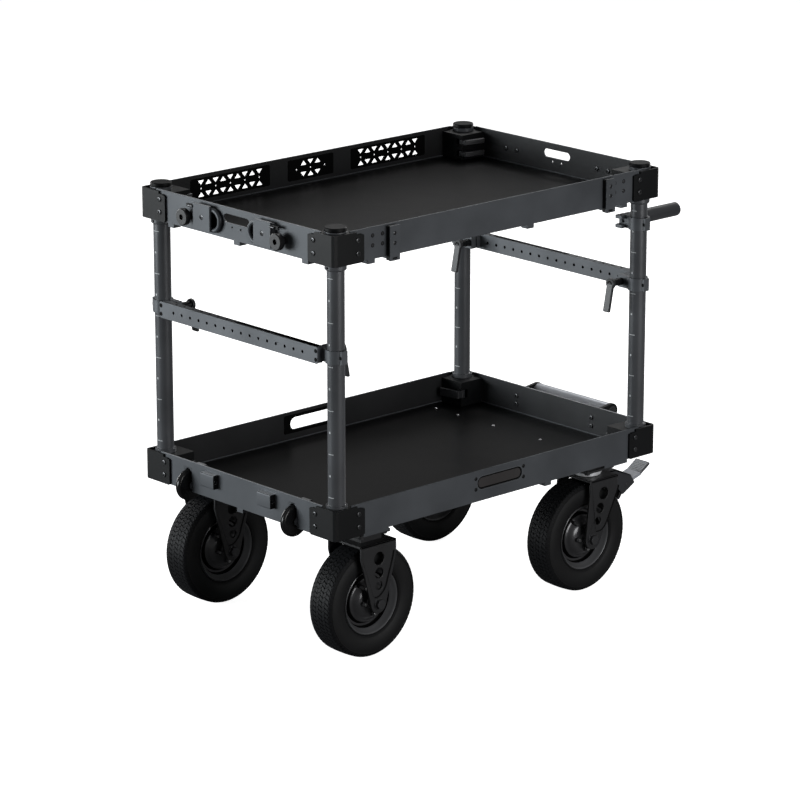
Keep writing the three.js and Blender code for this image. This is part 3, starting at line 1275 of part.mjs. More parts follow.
function addWheels() {
  SIDES.forEach(({ name, y }) => {
    const rigid = [-RIGID_WHEEL_X, y * WHEEL_Y];
    const swivel = [SWIVEL_X, y * WHEEL_Y];
    const axleX = SWIVEL_X - TRAIL;
    const pivot = [SWIVEL_X + BRAKE_PIVOT[0], y * WHEEL_Y, BRAKE_PIVOT[1]];
    addPart(`front_fork_${name}`, rigidFork(), forkFinish, [...rigid, 0]);
    addPart(`front_tyre_${name}`, tyreShape(), rubberFinish, [...rigid, WHEEL_RADIUS]);
    addPart(`front_rim_${name}`, rimShape(), rimFinish, [...rigid, WHEEL_RADIUS]);
    addPart(`swivel_head_${name}`, swivelHead(), zincFinish, [...swivel, 0]);
    addPart(`swivel_fork_${name}`, swivelFork(), forkFinish, [...swivel, 0]);
    addPart(`brake_pedal_${name}`, brakePedal(), leverFinish, pivot);
    addPart(`rear_tyre_${name}`, tyreShape(), rubberFinish, [axleX, y * WHEEL_Y, WHEEL_RADIUS]);
    addPart(`rear_rim_${name}`, rimShape(), rimFinish, [axleX, y * WHEEL_Y, WHEEL_RADIUS]);
  });
}

addCorners();
addTrays();
addBumpersAndRollers();
addCrossbars();
addPushHandles();
addPart("grab_handle", grabHandle(), postFinish);
addWheels();

export default cart;
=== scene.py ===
# Camera cart: finished surfaces, fine forms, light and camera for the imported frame.
# Metres, +Z up. The front is the -X end with the rigid wheels, the near side is -Y.

import math

import bmesh
import bpy
from mathutils import Matrix, Vector
from mathutils.geometry import tessellate_polygon


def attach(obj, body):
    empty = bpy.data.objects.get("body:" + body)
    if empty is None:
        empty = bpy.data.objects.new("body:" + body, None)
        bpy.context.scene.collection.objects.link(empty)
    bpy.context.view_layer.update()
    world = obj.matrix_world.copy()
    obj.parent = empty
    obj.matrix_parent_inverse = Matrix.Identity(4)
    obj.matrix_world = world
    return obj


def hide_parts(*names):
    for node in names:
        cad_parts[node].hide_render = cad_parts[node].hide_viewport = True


# Camera at the photograph's angle
CAMERA_AZIMUTH = math.radians(-42.58)
CAMERA_ELEVATION = math.radians(16.12)
CAMERA_TARGET = (-0.06107, 0.00317, 0.4559)
CAMERA_DISTANCE = 8.529
CAMERA_LENS = 170.7
CAMERA_SENSOR = 36
CAMERA_CLIP = 100

# Layout, from the centre of the chassis and the ground
CHASSIS = (-0.05125, 0.00375, 0)
POST_X = 0.4555
POST_Y = 0.287
BOTTOM_TRAY_Z = 0.302
TOP_TRAY_Z = 0.901
CART_TOP_Z = 0.98
FIT = 0.0003
PROUD = 0.0002
SEAT = 0.001

# Edges and facets
FINE_EDGE = 0.0004
EDGE = 0.0008
SOFT_EDGE = 0.0012
EDGE_STEPS = 2
INSIDE_SHARE = 0.95
EDGE_ANGLE = math.radians(32)
SMOOTH_ANGLE = math.radians(38)
FLAT_ANGLE = math.radians(0.3)
ARC_STEP = math.radians(11)
ROUND_SIDES = 64
SMALL_SIDES = 24
WHEEL_SIDES = 144
HEX_SIDES = 6
PATH_STEPS = 8

# Fine grain and broad clouds in the finishes
GRAIN_DETAIL = 3
GRAIN_STRENGTH = 0.25
CLOUD_SCALE = 9
CLOUD_DETAIL = 2
CLOUD_RANGE = (0.3, 0.7)

# Posts
POST_RADIUS = 0.019
POST_SEAT = 0.006
COLLAR_RADIUS = 0.0235
COLLAR_HEIGHT = 0.014
COLLAR_CHAMFER = 0.003
RING_RADIUS = 0.0245
RING_RISE = 0.0014
CAP_RADIUS = 0.024
CAP_HEIGHT = 0.007
CAP_CHAMFER = 0.0015
CAP_NECK_RADIUS = 0.022
MARK_PITCH = 0.0958
MARK_FIRST_Z = 0.392
MARK_COUNT = 6
MARK_HEIGHT = 0.0014
MARK_TURN = math.radians(187)
MARK_HALF_ANGLE = math.radians(22)
DOT_TURN = math.radians(181)
DOT_HALF_ANGLE = math.radians(5.5)
DOT_HEIGHT = 0.0045

# Corner blocks
BLOCK_HEIGHT = 0.07
BLOCK_REACH = 0.0325
HOUSING_INNER = 0.0447
HOUSING_HEIGHT = 0.0616
EAR_SCREW_INSET = 0.066
EAR_SCREW_RISE = 0.01425
SCREW_RADIUS = 0.0055
SCREW_HEIGHT = 0.0026
SOCKET_SHARE = 0.5

# Tray walls
WALL_THICKNESS = 0.004
WALL_INSET = 0.005
WALL_END = 0.0165
LUG_WIDTH = 0.02
LUG_HEIGHT = 0.009
LUG_DEPTH = 0.02
LONG_WALL_LUG_X = 0.379
LONG_WALL_LUG_OFFSET_X = 0.088
BOTTOM_LUG_X = 0.15
END_WALL_LUG_Y = 0.221
LIP_X = 0.3665
LIP_WIDTH = 0.073
LIP_HEIGHT = 0.008
WALL_OVERLAP = 0.002
FLOOR_TOP = 0.003
FLOOR_SCREW_X = 0.359
FLOOR_SCREW_Y = (-0.2745, -0.199, -0.078, 0.078, 0.199, 0.2745)
FLOOR_SCREW_RADIUS = 0.004
FLOOR_SCREW_HEIGHT = 0.0018
SEAM_WIDTH = 0.0016
SEAM_HEIGHT = 0.0022
WALL_FACE_X = POST_X + BLOCK_REACH - WALL_INSET
WALL_FACE_Y = POST_Y + BLOCK_REACH - WALL_INSET
WALL_BACK_X = WALL_FACE_X - WALL_THICKNESS
WALL_BACK_Y = WALL_FACE_Y - WALL_THICKNESS

# Slots and screws in the walls, above the bottom of their tray; the hand slot by place, length and height
HAND_SLOT = (0, 0.0454, 0.085, 0.0187)
WALL_HOLE_RADIUS = 0.0025
WALL_HOLE_Y = 0.0143
WALL_HOLE_Z = 0.027
REAR_SCREW_Y = (0.1304, 0.1657)
REAR_SCREW_Z = 0.034
PLUG_X = (0.348, 0.376)
PLUG_Z = (0.03, 0.0515)
PLUG_RADIUS = 0.0035
LONG_SLOT_LENGTH = 0.136
LONG_SLOT_HEIGHT = 0.029
LONG_SLOT_Z = 0.041
BEZEL_LENGTH = 0.173
BEZEL_HEIGHT = 0.044
BEZEL_PROUD = 0.0015
COVER_MARGIN = 0.0035
COVER_RECESS = 0.001
COVER_RING = 0.0045
COVER_SCREW_X = 0.0725
COVER_SCREW_Z = (0.0285, 0.053)
COVER_SCREW_RADIUS = 0.0044
GRAB_SCREW_Y = 0.124
GRAB_SCREW_Z = (0.042, 0.022)

# Truss panels: middle, length, triangles in a row, screws, and whether the first triangle points up
TRUSS_PANELS = ((-0.238, 0.231, 9, 5, False), (0, 0.137, 3, 3, True), (0.238, 0.231, 9, 5, False))
PANEL_HEIGHT = 0.048
PANEL_Z = 0.038
PANEL_RADIUS = 0.004
PANEL_THICKNESS = 0.0025
PANEL_PROUD = 0.001
PANEL_SEAT = 0.004
TRIANGLE_WIDTH = 0.0195
TRIANGLE_HEIGHT = 0.0114
TRIANGLE_PITCH = 0.0212
TRIANGLE_BAND = 0.0152
PANEL_HOLE_RADIUS = 0.0022

# Front wall of the top tray
PLATE_WIDTH = 0.056
PLATE_HEIGHT = 0.0565
PLATE_Y = 0.1
PLATE_Z = 0.0373
PLATE_PROUD = 0.015
PLATE_THICKNESS = 0.006
PLATE_RADIUS = 0.002
PLATE_BOSS_WIDTH = 0.042
TIE_LOOP_Y = 0.0715
TIE_LOOP_Z = 0.034
TIE_LOOP_RADIUS = 0.0223
TIE_BAR_RADIUS = 0.0052
TIE_LOOP_PROUD = 0.0055
PLATE_HOLE_RADIUS = 0.0054
TAB_PIN_RADIUS = 0.0032
TAB_PIN_LENGTH = 0.014
PLATE_TAB_LENGTH = 0.023
PLATE_TAB_HEIGHT = 0.007
PLATE_TAB_Z = 0.057
BUMPER_Y = 0.1544
BUMPER_Z = 0.03
BUMPER_RADIUS = 0.019
BUMPER_PROUD = 0.026
BUMPER_DISC = 0.012
BUMPER_NECK_RADIUS = 0.009
BUMPER_SOCKET_RADIUS = 0.006
BUMPER_SOCKET_DEPTH = 0.007
BUMPER_CHAMFER = 0.002

# Cleat plates
CLEAT_X = 0.3235
CLEAT_WIDTH = 0.029
CLEAT_Z = (-0.009, 0.067)
CLEAT_PROUD = 0.0125
CLEAT_THICKNESS = 0.003
CLEAT_MARGIN = 0.001
CLEAT_HOLE_RADIUS = 0.0042
CLEAT_HOLE_Z = (0.0285, 0.05)
CLEAT_FOOT_HEIGHT = 0.005
PLUG_RING_RADIUS = 0.0046
CLEAT_SLOT_LENGTH = 0.013
CLEAT_SLOT_HEIGHT = 0.004
CLEAT_SLOT_Z = -0.004

# Front wall of the bottom tray
BRACKET_Y = (0.073, 0.1175)
BRACKET_Z = (0.028, 0.06)
BRACKET_PROUD = 0.014
BRACKET_RADIUS = 0.003
BRACKET_HOLE_RADIUS = 0.0045
ROLLER_Y = 0.176
ROLLER_AXIS_INSET = 0.003
ROLLER_Z = 0.3166
ROLLER_RADIUS = 0.036
ROLLER_WIDTH = 0.018
ROLLER_GROOVE_DEPTH = 0.0022
ROLLER_AXLE_RADIUS = 0.004
ROLLER_CLEARANCE = 0.002
ROLLER_SHELL = 0.0025
ROLLER_NOSE_RADIUS = 0.009
ROLLER_BOSS_RADIUS = 0.007
ROLLER_STEPS = 8
ROLLER_X = WALL_FACE_X - ROLLER_AXIS_INSET

# Cam levers
CAM_PIVOT_INSET = 0.0095
CAM_HEAD_RADIUS = 0.0085
CAM_PIN_RADIUS = 0.003
CAM_ARM_LENGTH = 0.047
CAM_ARM_THICKNESS = 0.007
CAM_ARM_STANDOFF = 0.0015
CAM_ARM_FLARE = 0.009
TOP_CAM_HEIGHT = 0.011
TOP_CAM_LEVELS = (0.017, 0.045)
BOTTOM_CAM_HEIGHT = 0.019
BOTTOM_CAM_LEVELS = (0.0325,)
CAM_PIVOT = HOUSING_INNER - CAM_PIVOT_INSET

# Crossbars and clamps
CROSSBAR_Z = 0.701
CROSSBAR_REACH = 0.0305
CROSSBAR_DEPTH = 0.018
CROSSBAR_HEIGHT = 0.037
CROSSBAR_LENGTH = 0.524
CROSSBAR_WALL = 0.003
CROSSBAR_END_RADIUS = 0.0045
CROSSBAR_END_BLOCK = 0.026
CROSSBAR_HOLES = 16
CROSSBAR_HOLE_PITCH = 0.0286
CROSSBAR_HOLE_RADIUS = 0.0034
FLANGE_HOLE_RADIUS = 0.003
END_BOLT_Y = 0.257
END_BOLT_RISE = 0.0096
END_BOLT_RADIUS = 0.0048
CLAMP_RADIUS = 0.023
CLAMP_HEIGHT = 0.029
CLAMP_SPLIT = 0.003
CLAMP_BOLT_Y = 0.25
CLAMP_EAR_HALF = 0.01
CLAMP_EAR_REACH = 0.0155
CLAMP_BOLT_RADIUS = 0.004
HINGE_HALF_WIDTH = 0.0085
HINGE_PROUD = 0.0045
HINGE_SLOT_WIDTH = 0.0018
HINGE_SLOT_HEIGHT = 0.007
LEVER_HUB_LENGTH = 0.037
LEVER_HUB_RADIUS = 0.0085
LEVER_HUB_END_RADIUS = 0.0125
LEVER_ARM_LENGTH = 0.064
LEVER_ARM_WIDTH = 0.018
LEVER_ARM_THICKNESS = 0.0075
LEVER_SOCKET_RADIUS = 0.0068
LEVER_STUD_RADIUS = 0.0034
LEVER_LEAN = math.radians(11)

# Handles
HANDLE_Z = 0.841
HANDLE_REACH = 0.163
HANDLE_RADIUS = 0.016
HANDLE_END_RADIUS = 0.006
HANDLE_FORK_REACH = 0.0275
HANDLE_FORK_GAP = 0.013
HANDLE_STUB_END = 0.021
GRAB_Z = 0.3475
GRAB_REACH = 0.062
GRAB_RADIUS = 0.0165
GRAB_ARM_Y = (0.118, 0.127)
GRAB_ARM_RADIUS = 0.018
GRAB_FOOT_FROM_Z = 0.312
GRAB_FOOT_TO_Z = 0.358
GRAB_CAP_RADIUS = 0.012

# Wheels
WHEEL_RADIUS = 0.127
WHEEL_Y = 0.244
RIGID_WHEEL_X = 0.345
SWIVEL_X = 0.345
TRAIL = 0.035
CARCASS_RADIUS = 0.1246
TREAD_EDGE_Y = 0.0285
TREAD_CROWN = 0.0012
TREAD_BLOCKS = 76
TREAD_ROWS = ((-0.0285, -0.0193), (-0.0181, -0.0096), (-0.0086, -0.0006))
TREAD_SLANT = 0.42
TREAD_BLOCK_SHARE = 0.76
TREAD_STEPS = 3
SHOULDER_LUG_FROM = 0.0302
SHOULDER_LUG_TO = 0.0335
SHOULDER_LUG_RADIUS = 0.1205
WELL_FROM = 0.0515
WELL_TO = 0.0632
FLARE_TO = 0.0735
LUG_BOLTS = 4
LUG_BOLT_CIRCLE = 0.0265
LUG_BOLT_RADIUS = 0.0062
LUG_BOLT_HEIGHT = 0.007
LUG_STUD_RADIUS = 0.0034
LUG_STUD_HEIGHT = 0.012
LUG_BOLT_SEAT_Y = 0.0308
VALVE_CIRCLE = 0.0475
VALVE_TURN = math.radians(125)
VALVE_RADIUS = 0.0032
VALVE_LENGTH = 0.02
VALVE_SEAT_Y = 0.0125
AXLE_RADIUS = 0.006
AXLE_HEAD_RADIUS = 0.0115
AXLE_HEAD_HEIGHT = 0.009
WASHER_RADIUS = 0.0135
WASHER_HEIGHT = 0.0016
HUB_HALF_LENGTH = 0.048

# Halves of the tyre's profile, bead to crown, and of the rim's, bore to bead: radius and distance aside
CARCASS_HALF = (
    (0.0666, 0.0134), (0.0701, 0.0184), (0.0731, 0.0234), (0.0757, 0.0266), (0.0763, 0.0267),
    (0.0775, 0.0295), (0.08, 0.0318), (0.0812, 0.0318), (0.0818, 0.0326), (0.0835, 0.0334),
    (0.089, 0.0352), (0.095, 0.0362), (0.101, 0.0366), (0.107, 0.0362), (0.112, 0.0352),
    (0.1155, 0.0341), (0.1162, 0.0346), (0.1172, 0.0345), (0.118, 0.0333), (0.1212, 0.0314),
    (0.1232, 0.0296), (0.124, 0.0272), (CARCASS_RADIUS - TREAD_CROWN / 3, 0.018), (CARCASS_RADIUS, 0.008),
)
RIM_HALF = (
    (AXLE_RADIUS + FIT, HUB_HALF_LENGTH), (0.0125, HUB_HALF_LENGTH), (0.0145, 0.0465), (0.0145, 0.0345),
    (0.0165, 0.0325), (0.0205, 0.0318), (0.0275, 0.0312), (0.0335, 0.0297), (0.039, 0.0262),
    (0.0435, 0.021), (0.0462, 0.0172), (0.0485, 0.0165), (0.0505, 0.0152), (0.0535, 0.0095),
    (0.0555, 0.0076), (0.0605, 0.0076), (0.0625, 0.0095), (0.0635, 0.0165), (0.0652, 0.0188),
    (0.068, 0.0222), (0.0712, 0.0272), (0.0728, 0.03), (0.0742, 0.0309), (0.0758, 0.0304),
    (0.0762, 0.0288), (0.0755, 0.0267), (0.0728, 0.0236), (0.0698, 0.0186), (0.0663, 0.0138),
)

# Forks and swivel heads
BASE_SIZE = 0.09
BASE_BOTTOM_Z = 0.28
BASE_THICKNESS = 0.006
PAD_SIZE = 0.08
CROWN_BOTTOM_Z = 0.26
CROWN_THICKNESS = 0.005
CROWN_TOP_Z = CROWN_BOTTOM_Z + CROWN_THICKNESS
FORK_REACH = 0.0545
FORK_THICKNESS = 0.005
FORK_EDGE = 0.0011
RIGID_PLATE_HALF = 0.051
RIGID_SHOULDER_Z = 0.236
RIGID_FOOT_RADIUS = 0.022
RIGID_SPACER = 0.06
RACE_RADIUS = 0.031
RACE_LIP = 0.0345
KINGPIN_RADIUS = 0.007
KINGPIN_NUT_RADIUS = 0.012
KINGPIN_NUT_HEIGHT = 0.004
SWIVEL_PLATE_FRONT = 0.041
SWIVEL_PLATE_REAR = 0.047
SWIVEL_SHOULDER_REAR = 0.043
SWIVEL_SHOULDER_Z = 0.246
SWIVEL_FOOT_RADIUS = 0.024
SWIVEL_FOOT_OFFSET = 0.0035
PLATE_HOLE_RADII = (0.0147, 0.0121, 0.0096)
PLATE_HOLE_HEIGHTS = (0.23, 0.197, 0.168)
SWIVEL_HOLE_OFFSETS = (-0.001, -0.012, -0.018)
# Painted shadow strip beside each doubler's lower edge: its width and rise, then the paths of those edges on
# rigid and swivel forks
EDGE_SHADOW_WIDTH = 0.0052
EDGE_SHADOW_PROUD = 0.00025
DOUBLER_PROUD = 0.0009
RIGID_DOUBLER_EDGE = ((0.0405, 0.24), (0.036, 0.221), (0.0235, 0.184), (0.0145, 0.16), (-0.001, 0.146),
                (-0.016, 0.1445))
SWIVEL_DOUBLER_EDGE = ((0.044, 0.24), (0.041, 0.229), (0.018, 0.182), (0.004, 0.156), (-0.009, 0.1455),
                 (-0.026, 0.1445))
RIGID_DOUBLER = ((-0.0475, 0.234), (-0.0475, 0.258), (0.0405, 0.258))
SWIVEL_DOUBLER = ((-0.0395, 0.258), (0.044, 0.258))
BASE_BOLT_OFFSET = 0.034
BASE_BOLT_RADIUS = 0.0065
BASE_BOLT_HEIGHT = 0.005

# Brakes
BRAKE_CHEEK_Y = 0.021
BRAKE_CHEEK_THICKNESS = 0.004
BRAKE_PIVOT = (0.105, 0.222)
BRAKE_PIN_RADIUS = 0.004
BRAKE_TIP = (0.132, 0.221)
BRAKE_TOP = (0.118, 0.243)
BRAKE_HEEL = (0.093, 0.2)
BRAKE_NECK_TOP = 0.07
BRAKE_NECK_BOTTOM = (0.056, 0.24)
BRAKE_SHOE_LENGTH = 0.036
BRAKE_SHOE_TURN = math.radians(234)
BRAKE_ARM_THICKNESS = 0.008
PEDAL_START = (0.153, 0.236)
PEDAL_END = (0.184, 0.256)
PEDAL_WIDTH = 0.043
PEDAL_THICKNESS = 0.005
PEDAL_RIBS = 7
PEDAL_RIB_RADIUS = 0.0017

# Stage and light; each light has a name, place, size, power and colour
STAGE_HALF = 30
STAGE_WHITE = 0.86
STAGE_ROUGHNESS = 0.9
STAGE_GLOW = 0.93
STAGE_BOUNCE = 0.22
WORLD_LIGHT = 0.06
WORLD_SHEEN = 0.2
LIGHT_TARGET = (0, 0, 0.5)
LIGHTS = (
    ("key", (-5.4, 3.6, 0.9), (4, 2.4), 350, (0.93, 0.98, 1)),
    ("fill", (0.3, -5, 1.2), (3, 2), 110, (1, 1, 1)),
    ("top", (2.2, 1.5, 3.6), (2, 2), 50, (1, 1, 1)),
    ("left_rim", (-0.8, 5, 1.4), (1.6, 2.4), 90, (1, 1, 1)),
    ("right_rim", (5, 0.9, 1.5), (1.6, 2.4), 90, (1, 1, 1)),
)

SIDES = {"near": -1, "far": 1}
CORNERS = {"rear_far": (1, 1), "front_far": (-1, 1), "front_near": (-1, -1), "rear_near": (1, -1)}
TRAYS = {"top": TOP_TRAY_Z, "bottom": BOTTOM_TRAY_Z}
INWARD = {"front": (1, 0, 0), "rear": (-1, 0, 0), "near": (0, 1, 0), "far": (0, -1, 0)}
QUARTER = math.pi / 2

# Walls by the axis that they face: back and face on the plus side, half the length, places of the lugs
WALL_SPANS = {"x": (WALL_BACK_X, WALL_FACE_X), "y": (WALL_BACK_Y, WALL_FACE_Y)}
WALL_ENDS = {"x": POST_Y - WALL_END, "y": POST_X - WALL_END}
TOP_LUGS = {"x": (-END_WALL_LUG_Y, 0, END_WALL_LUG_Y),
            "y": (-LONG_WALL_LUG_X, LONG_WALL_LUG_OFFSET_X, LONG_WALL_LUG_X)}

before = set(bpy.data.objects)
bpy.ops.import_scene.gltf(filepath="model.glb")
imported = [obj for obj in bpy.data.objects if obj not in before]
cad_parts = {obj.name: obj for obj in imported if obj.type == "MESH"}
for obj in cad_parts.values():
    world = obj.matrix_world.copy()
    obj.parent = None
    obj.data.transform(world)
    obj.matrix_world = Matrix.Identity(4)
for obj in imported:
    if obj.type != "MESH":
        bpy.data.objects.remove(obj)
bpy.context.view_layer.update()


# Materials: a node by name, or a new one of that type, with its inputs set or fed by other nodes
def linked(tree, kind, values, sources):
    made = tree.nodes.get(kind) or tree.nodes.new(kind)
    for name, value in values.items():
        made.inputs[name].default_value = value
    for name, source in sources.items():
        tree.links.new(source, made.inputs[name])
    return made


def shader(name, color, roughness, metallic=0.0, specular=0.5, coat=0.0):
    material = bpy.data.materials.new(name)
    material.use_nodes = True
    linked(material.node_tree, "Principled BSDF", {
        "Base Color": (*color, 1), "Roughness": roughness, "Metallic": metallic,
        "Specular IOR Level": specular, "Coat Weight": coat,
    }, {})
    return material


def noise(tree, scale, detail, stretch=(1, 1, 1)):
    place = tree.nodes.new("ShaderNodeTexCoord").outputs["Object"]
    mapped = linked(tree, "ShaderNodeMapping", {"Scale": stretch}, {"Vector": place}).outputs["Vector"]
    values = {"Scale": scale, "Detail": detail}
    return linked(tree, "ShaderNodeTexNoise", values, {"Vector": mapped}).outputs["Fac"]


def finished(name, color, roughness, grain, metallic=0.0, specular=0.5, coat=0.0, depth=0.00005,
             spread=0.12, tint=0.15, stretch=(1, 1, 1)):
    material = shader(name, color, roughness, metallic, specular, coat)
    tree = material.node_tree
    fine = noise(tree, grain, GRAIN_DETAIL, stretch)
    cloud = noise(tree, CLOUD_SCALE, CLOUD_DETAIL)
    limits = {"To Min": roughness - spread / 2, "To Max": roughness + spread / 2}
    rough = linked(tree, "ShaderNodeMapRange", limits, {"Value": cloud})
    ramp = linked(tree, "ShaderNodeValToRGB", {}, {"Fac": cloud})
    for element, place, share in zip(ramp.color_ramp.elements, CLOUD_RANGE, (1 - tint, 1 + tint)):
        element.position = place
        element.color = (*[value * share for value in color], 1)
    bump = linked(tree, "ShaderNodeBump", {"Strength": GRAIN_STRENGTH, "Distance": depth}, {"Height": fine})
    linked(tree, "Principled BSDF", {}, {
        "Roughness": rough.outputs["Result"], "Base Color": ramp.outputs["Color"],
        "Normal": bump.outputs["Normal"],
    })
    return material


# Finishes: name, colour, roughness and scale of the grain, then what departs from the plain finish
WALL = finished("wall_anodised", (0.083, 0.09, 0.1), 0.44, 2600, metallic=0.25, specular=0.42)
# Lighter copy of the wall finish for the top faces of end walls: a painted highlight
WALL_TOP_HIGHLIGHT = finished("wall_edge", (0.42, 0.43, 0.45), 0.36, 2600, metallic=0.3)
# Darker copies of the wall finish for the inside faces of the rear wall and of the other walls: painted shade
WALL_REAR_SHADE = finished("wall_rear_inside", (0.024, 0.0252, 0.0278), 0.42, 2600, metallic=0.2)
WALL_INSIDE_SHADE = finished("wall_inside", (0.017, 0.0175, 0.0188), 0.45, 2600, specular=0.35)
# Near-black finish of the truss plates and the bezel, also used as painted shade in the post necks and the
# rim wells
PANEL_BLACK_AND_PAINTED_SHADE = finished("panel_black_and_painted_shade", (0.001, 0.001, 0.0011), 0.5, 2200, specular=0.08)
FLOOR = finished("floor_satin", (0.0024, 0.0024, 0.0027), 0.32, 1500, specular=0.09, spread=0.1, tint=0.1)
BLOCK = finished("block_matt", (0.0042, 0.0047, 0.0054), 0.46, 1800, specular=0.22)
POST = finished("post_anodised", (0.09, 0.094, 0.102), 0.3, 900, metallic=0.2, stretch=(1, 1, 0.04))
GRIP = finished("grip_anodised", (0.058, 0.0605, 0.066), 0.32, 900, metallic=0.2, stretch=(0.04, 1, 1))
CROSSBAR = finished("crossbar_anodised", (0.112, 0.12, 0.131), 0.42, 2200, metallic=0.3)
LEVER = finished("lever_grey", (0.026, 0.0272, 0.03), 0.42, 1200, metallic=0.1)
CAM = finished("cam_black", (0.16, 0.162, 0.168), 0.3, 1400, metallic=0.75)
RUBBER = finished("bumper_rubber", (0.009, 0.009, 0.01), 0.4, 700)
ROLLER = finished("roller_rubber", (0.006, 0.006, 0.0065), 0.26, 500)
TYRE = finished("tyre_rubber", (0.0068, 0.007, 0.0076), 0.6, 420, specular=0.25, depth=0.0002)
TREAD = finished("tread_rubber", (0.0088, 0.0093, 0.0105), 0.56, 420, specular=0.15, depth=0.0002)
RIM = finished("rim_paint", (0.055, 0.055, 0.0585), 0.3, 300, metallic=0.4, specular=0.6, coat=0.3)
# Lighter copy of the rim paint for the flare: a painted reflection
RIM_FLARE_REFLECTION = finished("rim_flare", (0.12, 0.122, 0.128), 0.34, 300, metallic=0.35, coat=0.2)
FORK = finished("fork_powder", (0.018, 0.0182, 0.0198), 0.45, 1300, specular=0.4, depth=0.0001)
BRACKET = finished("brake_bracket", (0.03, 0.032, 0.0365), 0.42, 1300, specular=0.45, depth=0.0001)
# Near-black finish used as painted shadow in slots, gaps, sockets and recesses, and on a few small screw and
# bolt heads
PAINTED_SHADOW = finished("groove_shadow", (0.0015, 0.0015, 0.0015), 0.7, 900, specular=0.1)
ZINC = finished("race_zinc", (0.72, 0.73, 0.75), 0.38, 500, metallic=0.35)
STEEL = finished("bolt_steel", (0.5, 0.5, 0.51), 0.3, 700, metallic=1.0)
SCREW = finished("screw_black", (0.07, 0.071, 0.075), 0.28, 900, metallic=0.6, specular=0.6)
PEDAL = finished("pedal_zinc", (0.42, 0.44, 0.48), 0.45, 900, metallic=0.1)
TREADLE = finished("treadle_zinc", (0.1, 0.104, 0.114), 0.45, 900, metallic=0.1)
RIB = finished("pedal_rib", (0.88, 0.9, 0.93), 0.4, 900)
CAP = finished("cap_black", (0.0045, 0.0047, 0.0053), 0.45, 900, specular=0.12)
TUBE = finished("grab_tube", (0.6, 0.62, 0.66), 0.36, 900, metallic=0.5, stretch=(1, 0.04, 1), depth=0.00001)
MARK = finished("mark_white", (0.6, 0.62, 0.63), 0.6, 900, specular=0.3)
COVER = finished("cover_grey", (0.042, 0.038, 0.038), 0.6, 1100, specular=0.3)


# Shapes: a list of vertices and a list of faces that close a solid
def changed(shape, matrix):
    vertices, faces = shape
    return [tuple(matrix @ Vector(v)) for v in vertices], faces


def moved(shape, place):
    return changed(shape, Matrix.Translation(place))


def spun(shape, angle, axis="Z"):
    return changed(shape, Matrix.Rotation(angle, 4, axis))


def mirrored(shape, x=1, y=1):
    return changed(shape, Matrix.Diagonal((x, y, 1, 1)))


def mirrored_pair(shapes):
    return shapes + [mirrored(shape, y=-1) for shape in shapes]


# Turned from +Z to another way
def facing(shape, way):
    return changed(shape, Vector((0, 0, 1)).rotation_difference(Vector(way)).to_matrix().to_4x4())


def around(middle, size):
    return (middle - size / 2, middle + size / 2)


def opposite(span):
    return (-span[1], -span[0])


def sided(span, side):
    return span if side > 0 else opposite(span)


def row(count, middle, pitch):
    return [middle + (i - (count - 1) / 2) * pitch for i in range(count)]


def along(axis, u, v, w):
    return {"x": (w, u, v), "y": (u, w, v), "z": (u, v, w)}[axis]


# Outlines
def arc(centre, radius, start, end, step=ARC_STEP):
    count = max(2, math.ceil(abs(end - start) / step))
    turns = [start + (end - start) * i / count for i in range(count + 1)]
    return [(centre[0] + radius * math.cos(t), centre[1] + radius * math.sin(t)) for t in turns]


def circle(u, v, radius, sides=SMALL_SIDES):
    return arc((u, v), radius, 0, 2 * math.pi, 2 * math.pi / sides)[:-1]


def rounded(corners):
    points = []
    for i, (u, v, radius) in enumerate(corners):
        if radius == 0:
            points.append((u, v))
            continue
        here = Vector((u, v))
        back = (Vector(corners[i - 1][:2]) - here).normalized()
        ahead = (Vector(corners[(i + 1) % len(corners)][:2]) - here).normalized()
        half = back.angle(ahead) / 2
        centre = here + (back + ahead).normalized() * radius / math.sin(half)
        first = here + back * radius / math.tan(half) - centre
        last = here + ahead * radius / math.tan(half) - centre
        start = math.atan2(first.y, first.x)
        sweep = math.atan2(first.cross(last), first.dot(last))
        points += arc(centre, radius, start, start + sweep)
    return points


def rectangle(u, v, radius=0):
    return rounded([(u[0], v[0], radius), (u[1], v[0], radius), (u[1], v[1], radius), (u[0], v[1], radius)])


def pill(u, v, length, height):
    reach = (length - height) / 2
    right = arc((u + reach, v), height / 2, -QUARTER, QUARTER)
    return right + arc((u - reach, v), height / 2, QUARTER, 3 * QUARTER)


def strip(end, thickness):
    way = math.atan2(end[1], end[0])
    tip = arc(end, thickness / 2, way - QUARTER, way + QUARTER)
    return tip + arc((0, 0), thickness / 2, way + QUARTER, way + 3 * QUARTER)


def ribbon(points, width):
    left, right = [], []
    for i, point in enumerate(points):
        back, ahead = points[max(i - 1, 0)], points[min(i + 1, len(points) - 1)]
        way = (Vector(ahead) - Vector(back)).normalized()
        side = Vector((-way.y, way.x)) * width / 2
        left.append(tuple(Vector(point) + side))
        right.append(tuple(Vector(point) - side))
    return left + right[::-1]


def smooth_path(points):
    path = []
    last = len(points) - 1
    for i in range(last):
        p0, p1, p2, p3 = (Vector(points[min(max(k, 0), last)]) for k in (i - 1, i, i + 1, i + 2))
        bend, twist = 2 * p0 - 5 * p1 + 4 * p2 - p3, 3 * p1 - p0 - 3 * p2 + p3
        for step in range(PATH_STEPS):
            t = step / PATH_STEPS
            path.append(tuple((2 * p1 + (p2 - p0) * t + bend * t * t + twist * t ** 3) / 2))
    return [*path, tuple(points[-1])]


# Angle at which a line from a point touches a circle, on the side given by the sign
def tangent_angle(point, centre, radius, side):
    du, dv = point[0] - centre[0], point[1] - centre[1]
    return math.atan2(dv, du) + side * math.acos(radius / math.hypot(du, dv))


